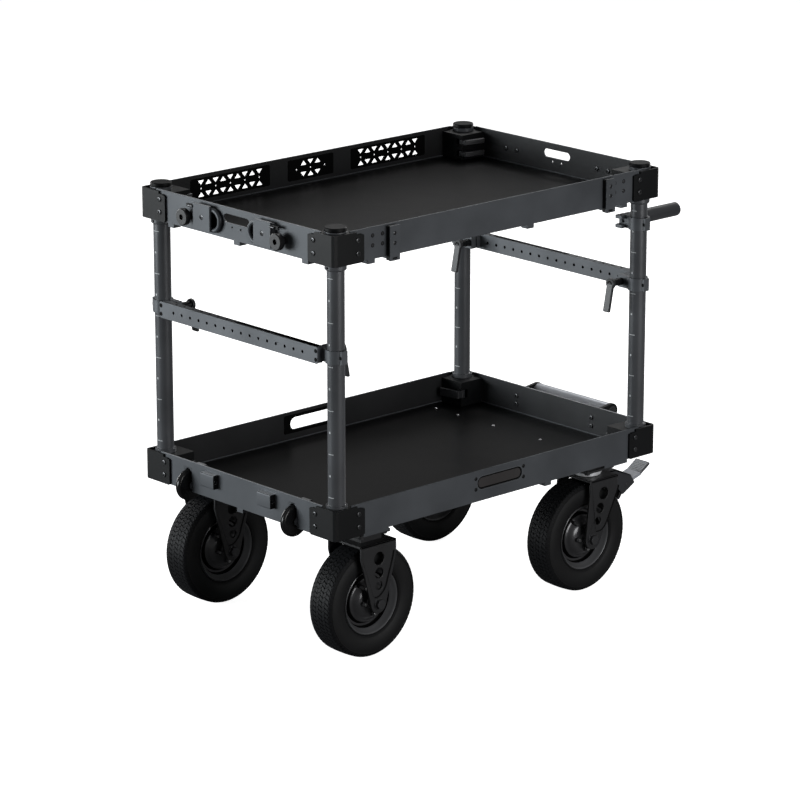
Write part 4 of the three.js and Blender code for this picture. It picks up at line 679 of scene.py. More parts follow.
# Solids
def slab(axis, outline, span, holes=()):
    loops = [list(outline), *[list(hole) for hole in holes]]
    flat = [point for loop in loops for point in loop]
    count = len(flat)
    vertices = [along(axis, u, v, w) for w in span for u, v in flat]
    triangles = tessellate_polygon([[Vector((u, v, 0)) for u, v in loop] for loop in loops])
    faces = [tuple(t) for t in triangles]
    faces += [tuple(i + count for i in reversed(t)) for t in triangles]
    start = 0
    for loop in loops:
        for i in range(len(loop)):
            a, b = start + i, start + (i + 1) % len(loop)
            faces.append((a, b, b + count, a + count))
        start += len(loop)
    return vertices, faces


def both_sides(outline, span, holes=()):
    return [slab("y", outline, across, holes) for across in (span, opposite(span))]


def box(x, y, z):
    return slab("z", rectangle(x, y), z)


def lathe(axis, profile, sides=ROUND_SIDES, centre=(0, 0)):
    vertices, rings = [], []
    for radius, w in profile:
        start = len(vertices)
        if radius == 0:
            rings.append([start] * sides)
            vertices.append(along(axis, *centre, w))
            continue
        rings.append(list(range(start, start + sides)))
        for i in range(sides):
            turn = 2 * math.pi * i / sides
            u = centre[0] + radius * math.cos(turn)
            vertices.append(along(axis, u, centre[1] + radius * math.sin(turn), w))
    faces = []
    closed = profile[0][0] != 0
    for lower, upper in zip(rings, rings[1:] + rings[:1] if closed else rings[1:]):
        for i in range(sides):
            j = (i + 1) % sides
            face = tuple(dict.fromkeys([lower[i], lower[j], upper[j], upper[i]]))
            if len(face) > 2:
                faces.append(face)
    return vertices, faces


def rod(axis, radius, span, centre=(0, 0), sides=SMALL_SIDES):
    return lathe(axis, [(0, span[0]), (radius, span[0]), (radius, span[1]), (0, span[1])], sides, centre)


# Socket screw head that stands on z 0 and points up
def screw_head(radius, height):
    socket = radius * SOCKET_SHARE
    depth = height * SOCKET_SHARE
    return lathe("z", [
        (0, -SEAT), (0, height - depth), (socket, height - depth), (socket, height),
        ((radius + socket) / 2, height), (radius - FINE_EDGE, height - FINE_EDGE), (radius, height / 3),
        (radius, -SEAT),
    ], SMALL_SIDES)


def socket_screws(places, way, radius=SCREW_RADIUS, height=SCREW_HEIGHT):
    head = facing(screw_head(radius, height), way)
    return [moved(head, place) for place in places]


def hex_head(radius, height):
    return slab("z", circle(0, 0, radius, HEX_SIDES), (-SEAT, height))


# One object from several closed shapes, turned about Z and set at a place on the chassis
def piece(name, shapes, material, place=(0, 0, 0), turn=0, body="chassis", edge=None, node=None):
    mesh = bpy.data.meshes.new(name)
    vertices, faces = [], []
    for shape_vertices, shape_faces in [moved(spun(shape, turn), place) for shape in shapes]:
        start = len(vertices)
        vertices += shape_vertices
        faces += [tuple(i + start for i in face) for face in shape_faces]
    mesh.from_pydata(vertices, [], faces)
    mesh.transform(Matrix.Translation(CHASSIS))
    work = bmesh.new()
    work.from_mesh(mesh)
    bmesh.ops.recalc_face_normals(work, faces=work.faces)
    bmesh.ops.dissolve_limit(work, angle_limit=FLAT_ANGLE, verts=work.verts, edges=work.edges)
    work.to_mesh(mesh)
    work.free()
    obj = bpy.data.objects.new(name, mesh)
    bpy.context.scene.collection.objects.link(obj)
    finish(obj, material, edge)
    if node:
        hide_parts(node)
    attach(obj, body)
    return obj


def finish(obj, material, edge):
    obj.data.materials.clear()
    obj.data.materials.append(material)
    obj.data.shade_smooth()
    obj.data.set_sharp_from_angle(angle=SMOOTH_ANGLE)
    if edge:
        bevel = obj.modifiers.new("edges", "BEVEL")
        bevel.limit_method = "ANGLE"
        bevel.angle_limit = EDGE_ANGLE
        bevel.width = edge
        bevel.segments = EDGE_STEPS
        bevel.use_clamp_overlap = False
        bevel.harden_normals = True


# Pieces at one place: kind, shapes, material and edge, then the slot and the node of the main one
def fit_out(pattern, kinds, place, turn=0, body="chassis"):
    made = []
    for kind, shapes, material, edge, *main in kinds:
        slot, node = main or (None, None)
        node = node and pattern.format(node)
        made.append(piece(pattern.format(kind), shapes, material, place, turn, body, edge, node))
    return made


# The same pieces on the near and on the far side
def fit_sides(kinds, x, y, z, body="chassis"):
    for side, sign in SIDES.items():
        fit_out("{}_" + side, kinds, (x, sign * y, z), body=body.format(side))


# One more material on the chosen faces of an object
def paint(obj, material, chosen):
    obj.data.materials.append(material)
    last = len(obj.data.materials) - 1
    for face in obj.data.polygons:
        if chosen(face):
            face.material_index = last


# Posts with collar, rings and cap
def post_profile():
    foot = BOTTOM_TRAY_Z + POST_SEAT + FIT
    ring = BOTTOM_TRAY_Z + HOUSING_HEIGHT + FIT
    ring_top = BOTTOM_TRAY_Z + BLOCK_HEIGHT + RING_RISE
    collar_top = TOP_TRAY_Z - FIT
    collar_foot = collar_top - COLLAR_HEIGHT
    cap_foot = CART_TOP_Z - CAP_HEIGHT
    top_ring = TOP_TRAY_Z + HOUSING_HEIGHT + FIT
    top_ring_top = TOP_TRAY_Z + BLOCK_HEIGHT
    return [
        (0, foot), (POST_RADIUS, foot), (POST_RADIUS, ring), (COLLAR_RADIUS, ring),
        (COLLAR_RADIUS, ring_top), (POST_RADIUS, ring_top), (POST_RADIUS, collar_foot),
        (COLLAR_RADIUS - COLLAR_CHAMFER, collar_foot), (COLLAR_RADIUS, collar_foot + COLLAR_CHAMFER),
        (COLLAR_RADIUS, collar_top), (POST_RADIUS, collar_top), (POST_RADIUS, top_ring),
        (RING_RADIUS, top_ring), (RING_RADIUS, top_ring_top), (CAP_NECK_RADIUS, top_ring_top),
        (CAP_NECK_RADIUS, cap_foot), (CAP_RADIUS, cap_foot), (CAP_RADIUS, CART_TOP_Z - CAP_CHAMFER),
        (CAP_RADIUS - CAP_CHAMFER, CART_TOP_Z), (0, CART_TOP_Z),
    ]


# Printed line or dot on the skin of a post: a thin shell about the given turn
def post_mark(z, height, turn, half_angle):
    start, end = turn - half_angle, turn + half_angle
    outline = arc((0, 0), POST_RADIUS + PROUD, start, end) + arc((0, 0), POST_RADIUS - PROUD, end, start)
    return slab("z", outline, around(z, height))


def build_posts():
    heights = [MARK_FIRST_Z + i * MARK_PITCH for i in range(MARK_COUNT)]
    marks = [post_mark(z, MARK_HEIGHT, MARK_TURN, MARK_HALF_ANGLE) for z in heights]
    marks += [post_mark(z + MARK_PITCH / 2, DOT_HEIGHT, DOT_TURN, DOT_HALF_ANGLE) for z in heights[:-1]]
    seat = (-COLLAR_RADIUS, 0, TOP_TRAY_Z - COLLAR_HEIGHT / 2)
    kinds = (
        ("column", [lathe("z", post_profile())], POST, FINE_EDGE, "post", "post"),
        ("column_marks", marks, MARK, None),
        ("column_set_screw", socket_screws([seat], (-1, 0, 0), SCREW_RADIUS / 2, FINE_EDGE), PAINTED_SHADOW, None),
    )
    neck, cap = TOP_TRAY_Z + BLOCK_HEIGHT, CART_TOP_Z - CAP_HEIGHT
    for corner, (x, y) in CORNERS.items():
        post = fit_out("{}_" + corner, kinds, (x * POST_X, y * POST_Y, 0))[0]
        paint(post, CAP, lambda face: face.center.z > neck)
        # The neck between the top ring and the cap is near black: painted shade in the gap
        paint(post, PANEL_BLACK_AND_PAINTED_SHADE, lambda face: neck < face.center.z < cap)


# Corner blocks stay as they are; their ears get socket screws
def build_corner_blocks():
    inset = BLOCK_REACH - EAR_SCREW_INSET
    heights = around(BLOCK_HEIGHT / 2, 2 * EAR_SCREW_RISE)
    for corner, (x, y) in CORNERS.items():
        across = [(x * (POST_X + inset), y * (POST_Y + BLOCK_REACH), h) for h in heights]
        ends = [(x * (POST_X + BLOCK_REACH), y * (POST_Y + inset), h) for h in heights]
        screws = socket_screws(across, (0, y, 0)) + socket_screws(ends, (x, 0, 0))
        for tray, z in TRAYS.items():
            finish(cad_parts[f"{tray}_corner_{corner}"], BLOCK, EDGE)
            piece(f"{tray}_ear_screws_{corner}", screws, SCREW, (0, 0, z))


# Floors stay as they are, with a thin lighter strip along the walls as a painted highlight on the seam, and
# screws in the bottom one
def build_floors():
    outer = rectangle(around(0, 2 * (WALL_BACK_X - FIT)), around(0, 2 * (WALL_BACK_Y - FIT)))
    inner = rectangle(around(0, 2 * (WALL_BACK_X - SEAM_WIDTH)), around(0, 2 * (WALL_BACK_Y - SEAM_WIDTH)))
    seam = slab("z", outer, (FLOOR_TOP - PROUD, FLOOR_TOP + SEAM_HEIGHT), [inner])
    for tray, z in TRAYS.items():
        finish(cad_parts[f"{tray}_floor"], FLOOR, FINE_EDGE)
        piece(f"{tray}_floor_seam_highlight", [seam], CROSSBAR, (0, 0, z))
    places = [(FLOOR_SCREW_X, y, FLOOR_TOP) for y in FLOOR_SCREW_Y]
    heads = socket_screws(places, (0, 0, 1), FLOOR_SCREW_RADIUS, FLOOR_SCREW_HEIGHT)
    piece("bottom_floor_screws", heads, STEEL, (0, 0, BOTTOM_TRAY_Z))


# Lug under a wall, and its neck in the wall
def lug(axis, side, at, width=LUG_WIDTH, height=LUG_HEIGHT, depth=LUG_DEPTH):
    back, face = WALL_SPANS[axis]
    shapes = []
    for across, length, z in (((face - depth, face), width, (-height, -FIT)),
                              ((back + PROUD, face - PROUD), width - PROUD, (-WALL_OVERLAP, WALL_OVERLAP))):
        spans = (sided(across, side), around(at, length))
        shapes.append(box(*(spans if axis == "x" else spans[::-1]), z))
    return shapes


def lips(side):
    return [shape for x in (-LIP_X, LIP_X)
            for shape in lug("y", side, x, LIP_WIDTH, LIP_HEIGHT, WALL_THICKNESS)]


def wall(axis, side, lugs, holes=()):
    outline = rectangle((-WALL_ENDS[axis], WALL_ENDS[axis]), (0, BLOCK_HEIGHT))
    shapes = [slab(axis, outline, sided(WALL_SPANS[axis], side), holes)]
    for at in lugs:
        shapes += lug(axis, side, at)
    return shapes


# Panel of a tray: its inside faces get darker copies of the wall finish as painted shade, and the top faces
# of an end wall get a lighter copy as a painted highlight
def wall_panel(tray, where, shapes):
    panel = piece(f"{tray}_{where}_panel", shapes, WALL, (0, 0, TRAYS[tray]), edge=EDGE,
                  node=f"{tray}_{where}_wall")
    inward = Vector(INWARD[where])
    inside = WALL_REAR_SHADE if where == "rear" else WALL_INSIDE_SHADE
    paint(panel, inside, lambda face: face.normal.dot(inward) > INSIDE_SHARE)
    if inward.x:
        paint(panel, WALL_TOP_HIGHLIGHT, lambda face: face.normal.z > INSIDE_SHARE)
    return panel


def hand_slot_holes():
    screws = [circle(y, WALL_HOLE_Z, WALL_HOLE_RADIUS) for y in (-WALL_HOLE_Y, WALL_HOLE_Y)]
    return [pill(*HAND_SLOT), *screws]


# Accessory plate and boss, tie loop and its shadow, tab and pin
def accessory_plate(side):
    face = -WALL_FACE_X - PLATE_PROUD
    outline = rectangle(around(side * PLATE_Y, PLATE_WIDTH), around(PLATE_Z, PLATE_HEIGHT), PLATE_RADIUS)
    hole = circle(side * PLATE_Y, PLATE_Z, PLATE_HOLE_RADIUS)
    plate = slab("x", outline, (face, face + PLATE_THICKNESS), [hole])
    boss_y = side * (PLATE_Y + (PLATE_WIDTH - PLATE_BOSS_WIDTH) / 2)
    boss = box((face + PLATE_THICKNESS / 2, -WALL_FACE_X + SEAT), around(boss_y, PLATE_BOSS_WIDTH),
               around(PLATE_Z, PLATE_HEIGHT - PLATE_THICKNESS))
    centre = (side * TIE_LOOP_Y, TIE_LOOP_Z)
    loop = lathe("x", circle(TIE_LOOP_RADIUS, 0, TIE_BAR_RADIUS))
    loop = moved(loop, (-WALL_FACE_X - TIE_LOOP_PROUD, *centre))
    shadow = rod("x", TIE_LOOP_RADIUS, (-WALL_FACE_X - PROUD, -WALL_FACE_X + SEAT), centre)
    edge = PLATE_Y + PLATE_WIDTH / 2
    tab_y = sided((edge - PLATE_RADIUS, edge + PLATE_TAB_LENGTH), side)
    tab = box((face + SEAT, face + PLATE_THICKNESS), tab_y, around(PLATE_TAB_Z, PLATE_TAB_HEIGHT))
    pin = rod("y", TAB_PIN_RADIUS, sided((edge, edge + TAB_PIN_LENGTH), side), (face, PLATE_TAB_Z))
    return [plate, boss], loop, shadow, tab, pin


def build_top_front_wall():
    plates, loops, shadows, tabs, pins = zip(*[accessory_plate(side) for side in (-1, 1)])
    wall_panel("top", "front", wall("x", -1, TOP_LUGS["x"], hand_slot_holes()) + plates[0] + plates[1])
    seat = -WALL_FACE_X - PLATE_PROUD + PLATE_THICKNESS / 2
    screws = socket_screws([(seat, side * PLATE_Y, PLATE_Z) for side in (-1, 1)], (-1, 0, 0))
    fit_out("top_front_{}", (
        ("tie_loops", loops, WALL, None, "wall", None),
        ("loop_shadows", shadows, PAINTED_SHADOW, None),
        ("plate_tabs", tabs, BLOCK, FINE_EDGE),
        ("tab_pins", pins, SCREW, FINE_EDGE),
        ("plate_screws", screws, SCREW, None),
    ), (0, 0, TOP_TRAY_Z))


def build_top_rear_wall():
    wall_panel("top", "rear", wall("x", 1, TOP_LUGS["x"], hand_slot_holes()))
    sides = [side * y for y in REAR_SCREW_Y for side in (-1, 1)]
    screws = socket_screws([(WALL_BACK_X, y, REAR_SCREW_Z) for y in sides], (-1, 0, 0))
    screws += socket_screws([(WALL_FACE_X, y, REAR_SCREW_Z) for y in sides], (1, 0, 0))
    piece("top_rear_screws", screws, SCREW, (0, 0, TOP_TRAY_Z))


# Cleat on the near wall: face plate with two holes and a slot, its foot, and the spacer block behind it
def cleat(x):
    face = -WALL_FACE_Y - CLEAT_PROUD
    back = face + CLEAT_THICKNESS
    holes = [circle(x, z, CLEAT_HOLE_RADIUS) for z in CLEAT_HOLE_Z]
    holes.append(rectangle(around(x, CLEAT_SLOT_LENGTH), around(CLEAT_SLOT_Z, CLEAT_SLOT_HEIGHT)))
    plate = slab("y", rectangle(around(x, CLEAT_WIDTH), CLEAT_Z), (face, back), holes)
    width = CLEAT_WIDTH - 2 * CLEAT_MARGIN
    height = (CLEAT_Z[0] + CLEAT_MARGIN, CLEAT_Z[1] - CLEAT_MARGIN)
    block = box(around(x, width), (back - CLEAT_MARGIN, -WALL_FACE_Y + CLEAT_MARGIN), height)
    return [plate, *lug("y", -1, x, width, CLEAT_FOOT_HEIGHT)], block


def build_top_near_wall():
    plates, blocks = zip(*[cleat(x) for x in (-CLEAT_X, CLEAT_X)])
    wall_panel("top", "near", wall("y", -1, TOP_LUGS["y"]) + plates[0] + plates[1])
    face, way = -WALL_FACE_Y, (0, -1, 0)
    seat = face - CLEAT_PROUD + CLEAT_THICKNESS - CLEAT_MARGIN
    screws = [(x, seat, z) for x in (-CLEAT_X, CLEAT_X) for z in CLEAT_HOLE_Z]
    places = [(side * x, z) for side in (-1, 1) for x in PLUG_X for z in PLUG_Z]
    # Near-black rings about the plugs: painted shade in the gaps
    rings = [rod("y", PLUG_RING_RADIUS, (face - PROUD, face + SEAT), place) for place in places]
    fit_out("top_near_{}", (
        ("cleat_blocks", blocks, BLOCK, FINE_EDGE),
        ("screws", socket_screws(screws, way, CLEAT_HOLE_RADIUS - PROUD, CLEAT_MARGIN), SCREW, None),
        ("plug_rings", rings, PAINTED_SHADOW, None),
        ("plugs", socket_screws([(x, face, z) for x, z in places], way, PLUG_RADIUS, SEAT), SCREW, None),
    ), (0, 0, TOP_TRAY_Z))


# Truss panel with two rows of triangles that point up and down by turns
def triangle(x, z, up):
    rise = TRIANGLE_HEIGHT / 2 if up else -TRIANGLE_HEIGHT / 2
    return rounded([
        (x - TRIANGLE_WIDTH / 2, z - rise, SEAT),
        (x + TRIANGLE_WIDTH / 2, z - rise, SEAT),
        (x, z + rise, SEAT),
    ])


def truss_panel(x, length, triangles, screws, first_up):
    rise = (TRIANGLE_BAND + TRIANGLE_HEIGHT) / 2
    holes = []
    for i, u in enumerate(row(triangles, x, TRIANGLE_PITCH)):
        up = first_up == (i % 2 == 0)
        holes += [triangle(u, PANEL_Z + rise, up), triangle(u, PANEL_Z - rise, not up)]
    holes += [circle(u, PANEL_Z, PANEL_HOLE_RADIUS) for u in row(screws, x, 2 * TRIANGLE_PITCH)]
    back = WALL_BACK_Y - PANEL_PROUD
    outline = rectangle(around(x, length), around(PANEL_Z, PANEL_HEIGHT), PANEL_RADIUS)
    return slab("y", outline, (back, back + PANEL_THICKNESS), holes)


def build_top_far_wall():
    height = around(PANEL_Z, PANEL_HEIGHT - 2 * PANEL_SEAT)
    windows = [rectangle(around(x, length - 2 * PANEL_SEAT), height, PANEL_RADIUS)
               for x, length, *_ in TRUSS_PANELS]
    wall_panel("top", "far", wall("y", 1, TOP_LUGS["y"], windows))
    plates = [truss_panel(*panel) for panel in TRUSS_PANELS]
    piece("top_far_truss_plates", plates, PANEL_BLACK_AND_PAINTED_SHADE, (0, 0, TOP_TRAY_Z))


# Room for a curb roller, grown by a margin: two spans and the top
def roller_pocket(side, margin):
    room = ROLLER_CLEARANCE + margin
    back = ROLLER_RADIUS + room - ROLLER_X
    top = ROLLER_Z - BOTTOM_TRAY_Z + ROLLER_RADIUS + room
    return (-WALL_FACE_X, back), around(side * ROLLER_Y, ROLLER_WIDTH + 2 * room), top


def roller_housing(side):
    outer_x, outer_y, outer_top = roller_pocket(side, ROLLER_SHELL)
    (front, back), inner_y, inner_top = roller_pocket(side, 0)
    axle_z = ROLLER_Z - BOTTOM_TRAY_Z
    axle = (-ROLLER_X, axle_z)
    foot = arc(axle, ROLLER_NOSE_RADIUS, QUARTER, 3 * QUARTER)
    foot += [(-WALL_BACK_X, axle_z + side * ROLLER_NOSE_RADIUS) for side in (-1, 1)]
    shapes = [box((back, outer_x[1]), outer_y, (0, outer_top)), box(outer_x, outer_y, (inner_top, outer_top))]
    for span in ((outer_y[0], inner_y[0]), (inner_y[1], outer_y[1])):
        shapes += [slab("y", rectangle((front, back), (0, inner_top)), span), slab("y", foot, span)]
    for span in ((outer_y[0] - ROLLER_SHELL, inner_y[0]), (inner_y[1], outer_y[1] + ROLLER_SHELL)):
        shapes.append(rod("y", ROLLER_BOSS_RADIUS, span, axle))
    return [*shapes, rod("y", ROLLER_AXLE_RADIUS, outer_y, axle)]


def hook_bracket(side):
    face, seat = -WALL_FACE_X - BRACKET_PROUD, -WALL_FACE_X + SEAT
    outline = rounded([
        (face, BRACKET_Z[0], BRACKET_RADIUS), (seat, BRACKET_Z[0], 0),
        (seat, BRACKET_Z[1], 0), (face, BRACKET_Z[1], BRACKET_RADIUS),
    ])
    hole = circle(-WALL_FACE_X - BRACKET_PROUD / 2, sum(BRACKET_Z) / 2, BRACKET_HOLE_RADIUS)
    return slab("y", outline, sided(BRACKET_Y, side), [hole])


# Front wall of the bottom tray, with a notch at each roller; the side faces of the hook brackets get the
# black block finish as painted shade
def build_bottom_front_wall():
    outline = [(WALL_ENDS["x"], 0), (WALL_ENDS["x"], BLOCK_HEIGHT),
               (-WALL_ENDS["x"], BLOCK_HEIGHT), (-WALL_ENDS["x"], 0)]
    fittings = []
    for side in (-1, 1):
        _, (low, high), top = roller_pocket(side, 0)
        half = (high - low) / 2
        outline += [(low, 0), *arc(((low + high) / 2, top - half), half, 0, math.pi)[::-1], (high, 0)]
        fittings += [hook_bracket(side), *roller_housing(side)]
    sheet = slab("x", outline, (-WALL_FACE_X, -WALL_BACK_X))
    panel = wall_panel("bottom", "front", [sheet, *fittings, *lug("x", -1, 0)])
    low, high = (BOTTOM_TRAY_Z + z for z in BRACKET_Z)
    front, reach = CHASSIS[0] - WALL_FACE_X - SEAT, ROLLER_Y - ROLLER_WIDTH
    # Side faces of the hook brackets: painted shade
    paint(panel, BLOCK, lambda face: abs(face.normal.y) > INSIDE_SHARE and face.center.x < front
          and low < face.center.z < high and abs(face.center.y - CHASSIS[1]) < reach)


def build_bottom_rear_wall():
    wall_panel("bottom", "rear", wall("x", 1, [0]))
    places = [(WALL_BACK_X, side * GRAB_SCREW_Y, z) for side in (-1, 1) for z in GRAB_SCREW_Z]
    piece("bottom_rear_screws", socket_screws(places, (-1, 0, 0)), SCREW, (0, 0, BOTTOM_TRAY_Z))


# Outline of the long slot, grown or shrunk by a margin
def long_slot(margin=0):
    return pill(0, LONG_SLOT_Z, LONG_SLOT_LENGTH + 2 * margin, LONG_SLOT_HEIGHT + 2 * margin)


# Near wall of the bottom tray, with the cover set in its slot and painted shade in the gap about it
def build_bottom_near_wall():
    wall_panel("bottom", "near", wall("y", -1, [BOTTOM_LUG_X], [long_slot()]) + lips(-1))
    face, back = -WALL_FACE_Y, -WALL_BACK_Y
    places = [(x, face, z) for x in (-COVER_SCREW_X, COVER_SCREW_X) for z in COVER_SCREW_Z]
    cover = slab("y", long_slot(-COVER_MARGIN), (face + COVER_RECESS, back))
    # Near-black slab behind the gap about the cover: painted shade
    gap_shade = slab("y", long_slot(-PROUD), (face + 2 * COVER_RECESS, back - PROUD))
    rim = slab("y", long_slot(COVER_RING / 2), (face - PROUD, face + SEAT), [long_slot()])
    fit_out("bottom_near_{}", (
        ("cover", [cover], COVER, FINE_EDGE),
        ("cover_bed", [gap_shade], PAINTED_SHADOW, None),
        ("slot_rim", [rim], CROSSBAR, None),
        ("screws", socket_screws(places, (0, -1, 0), COVER_SCREW_RADIUS, SEAT), BLOCK, None),
    ), (0, 0, BOTTOM_TRAY_Z))


def build_bottom_far_wall():
    wall_panel("bottom", "far", wall("y", 1, [BOTTOM_LUG_X], [long_slot()]) + lips(1))
    outline = rectangle(around(0, BEZEL_LENGTH), around(LONG_SLOT_Z, BEZEL_HEIGHT), PANEL_RADIUS)
    bezel = slab("y", outline, (WALL_BACK_Y - BEZEL_PROUD, WALL_BACK_Y + SEAT), [long_slot()])
    piece("bottom_far_bezel", [bezel], PANEL_BLACK_AND_PAINTED_SHADE, (0, 0, BOTTOM_TRAY_Z), edge=FINE_EDGE)


# Bumpers and curb rollers
def build_bumpers():
    socket_x = BUMPER_SOCKET_DEPTH - BUMPER_PROUD
    neck_x = BUMPER_DISC - BUMPER_PROUD
    disc = lathe("x", [
        (0, socket_x), (BUMPER_SOCKET_RADIUS, socket_x), (BUMPER_SOCKET_RADIUS, -BUMPER_PROUD),
        (BUMPER_RADIUS - BUMPER_CHAMFER, -BUMPER_PROUD), (BUMPER_RADIUS, BUMPER_CHAMFER - BUMPER_PROUD),
        (BUMPER_RADIUS, neck_x), (BUMPER_NECK_RADIUS, neck_x), (BUMPER_NECK_RADIUS, -FIT), (0, -FIT),
    ])
    # A near-black screw head at the bottom of each socket: painted shade in the socket
    kinds = (("buffer", [disc], RUBBER, FINE_EDGE, "rubber", "bumper"),
             ("buffer_screw", socket_screws([(socket_x, 0, 0)], (-1, 0, 0)), PAINTED_SHADOW, None))
    fit_sides(kinds, -WALL_FACE_X, BUMPER_Y, TOP_TRAY_Z + BUMPER_Z)


def build_rollers():
    half = ROLLER_WIDTH / 2
    bore = ROLLER_AXLE_RADIUS + FIT
    crown = half - ROLLER_SHELL
    tread = arc((ROLLER_RADIUS - crown, ROLLER_SHELL / 2), crown, 0, QUARTER, QUARTER / ROLLER_STEPS)
    lower = [(radius, -w) for radius, w in tread[::-1]]
    profile = [(bore, half), (bore, -half), *lower, (ROLLER_RADIUS - ROLLER_GROOVE_DEPTH, 0), *tread]
    kinds = [("curb_wheel", [lathe("y", profile)], ROLLER, None, "rubber", "curb_roller")]
    fit_sides(kinds, -ROLLER_X, ROLLER_Y, ROLLER_Z, "roller_{}")


# Split clamp about a post on the far side, with its ears towards the middle
def clamp(reach):
    gap = CLAMP_SPLIT / 2
    ear = CLAMP_BOLT_Y - CLAMP_EAR_HALF
    outer_turn = math.acos(CLAMP_EAR_REACH / CLAMP_RADIUS)
    back_turn = math.acos(min(reach, CLAMP_EAR_REACH) / CLAMP_RADIUS)
    bore = POST_RADIUS + FIT
    slit = math.asin(gap / bore)
    height = around(0, CLAMP_HEIGHT)
    outline = [(gap, ear), (CLAMP_EAR_REACH, ear)]
    outline += arc((0, POST_Y), CLAMP_RADIUS, -outer_turn, math.pi + back_turn)
    outline += [(-CLAMP_EAR_REACH, ear), (-gap, ear)]
    outline += arc((0, POST_Y), bore, -QUARTER - slit, -QUARTER + slit - 2 * math.pi)
    outside = POST_Y + CLAMP_RADIUS
    hinge = box(around(0, 2 * HINGE_HALF_WIDTH), (outside - CLAMP_SPLIT, outside + HINGE_PROUD), height)
    shapes = [slab("z", outline, height), hinge]
    if reach > CLAMP_EAR_REACH:
        shapes.append(box((-reach, -CLAMP_EAR_REACH + SEAT), (ear, POST_Y - POST_RADIUS), height))
    return shapes


# Near-black boxes in the slots at both edges of a clamp's hinge: painted shade
def hinge_slots():
    outside = POST_Y + CLAMP_RADIUS
    return [box(around(x, HINGE_SLOT_WIDTH), (outside - CLAMP_SPLIT, outside + HINGE_PROUD - SEAT),
                around(0, HINGE_SLOT_HEIGHT)) for x in (-HINGE_HALF_WIDTH, HINGE_HALF_WIDTH)]


def crossbar_shapes(outer, inner):
    half_length, half_height = CROSSBAR_LENGTH / 2, CROSSBAR_HEIGHT / 2
    cut = half_length - CROSSBAR_END_RADIUS
    height = (-half_height, half_height)
    rows = row(CROSSBAR_HOLES, 0, CROSSBAR_HOLE_PITCH)
    holes = [circle(y, 0, CROSSBAR_HOLE_RADIUS) for y in rows]
    flange_holes = [circle((outer + inner) / 2, y, FLANGE_HOLE_RADIUS) for y in rows]
    flange_x = (outer + CROSSBAR_WALL / 2, inner - CROSSBAR_WALL / 2)
    front = rectangle((-half_length, half_length), height, CROSSBAR_END_RADIUS)
    block_end = half_length - CROSSBAR_END_RADIUS / 2
    block = box(flange_x, (block_end - CROSSBAR_END_BLOCK, block_end),
                around(0, CROSSBAR_HEIGHT - CROSSBAR_WALL))
    return [
        slab("x", front, (outer, outer + CROSSBAR_WALL), holes),
        slab("x", rectangle((-cut, cut), height), (inner - CROSSBAR_WALL, inner), holes),
        slab("z", rectangle(flange_x, (-cut, cut)), (half_height - CROSSBAR_WALL, half_height), flange_holes),
        box(flange_x, (-cut, cut), (-half_height, -half_height + CROSSBAR_WALL)),
        *mirrored_pair([block, *clamp(CROSSBAR_WALL - inner)]),
    ]


# Ratchet lever about its bolt, which runs along X; the arm hangs down and leans away
def ratchet_lever():
    foot = CLAMP_EAR_REACH + FIT
    end = foot + LEVER_HUB_LENGTH
    neck = foot + LEVER_HUB_LENGTH / 3
    arm_x = end - LEVER_ARM_THICKNESS
    lean = LEVER_ARM_LENGTH * math.tan(LEVER_LEAN)
    arm = slab("y", rounded([
        (arm_x, 0, 0), (arm_x + lean, -LEVER_ARM_LENGTH, LEVER_ARM_THICKNESS / 3),
        (end + lean, -LEVER_ARM_LENGTH, LEVER_ARM_THICKNESS / 3), (end, 0, 0),
    ]), around(0, LEVER_ARM_WIDTH))
    ring = rod("x", LEVER_HUB_END_RADIUS, (arm_x, end), sides=ROUND_SIDES)
    barrel = lathe("x", [
        (0, foot), (LEVER_HUB_RADIUS, foot), (LEVER_HUB_RADIUS, neck), (LEVER_HUB_RADIUS - SEAT, neck + SEAT),
        (LEVER_HUB_RADIUS, arm_x + SEAT), (0, arm_x + SEAT),
    ])
    bolt = rod("x", CLAMP_BOLT_RADIUS, (CROSSBAR_DEPTH - CROSSBAR_REACH + FIT, end - SEAT))
    # Near-black disc on the end of the hub: painted shade in the socket
    socket = rod("x", LEVER_SOCKET_RADIUS, (end - SEAT, end + PROUD))
    stud = rod("x", LEVER_STUD_RADIUS, (end - SEAT, end + FINE_EDGE))
    return (("ratchet", [ring, arm], LEVER, SOFT_EDGE, "lever", "clamp_lever"),
            ("ratchet_barrel", [barrel, bolt], BLOCK, None),
            ("ratchet_socket", [socket], PAINTED_SHADOW, None),
            ("ratchet_stud", [stud], SCREW, None))


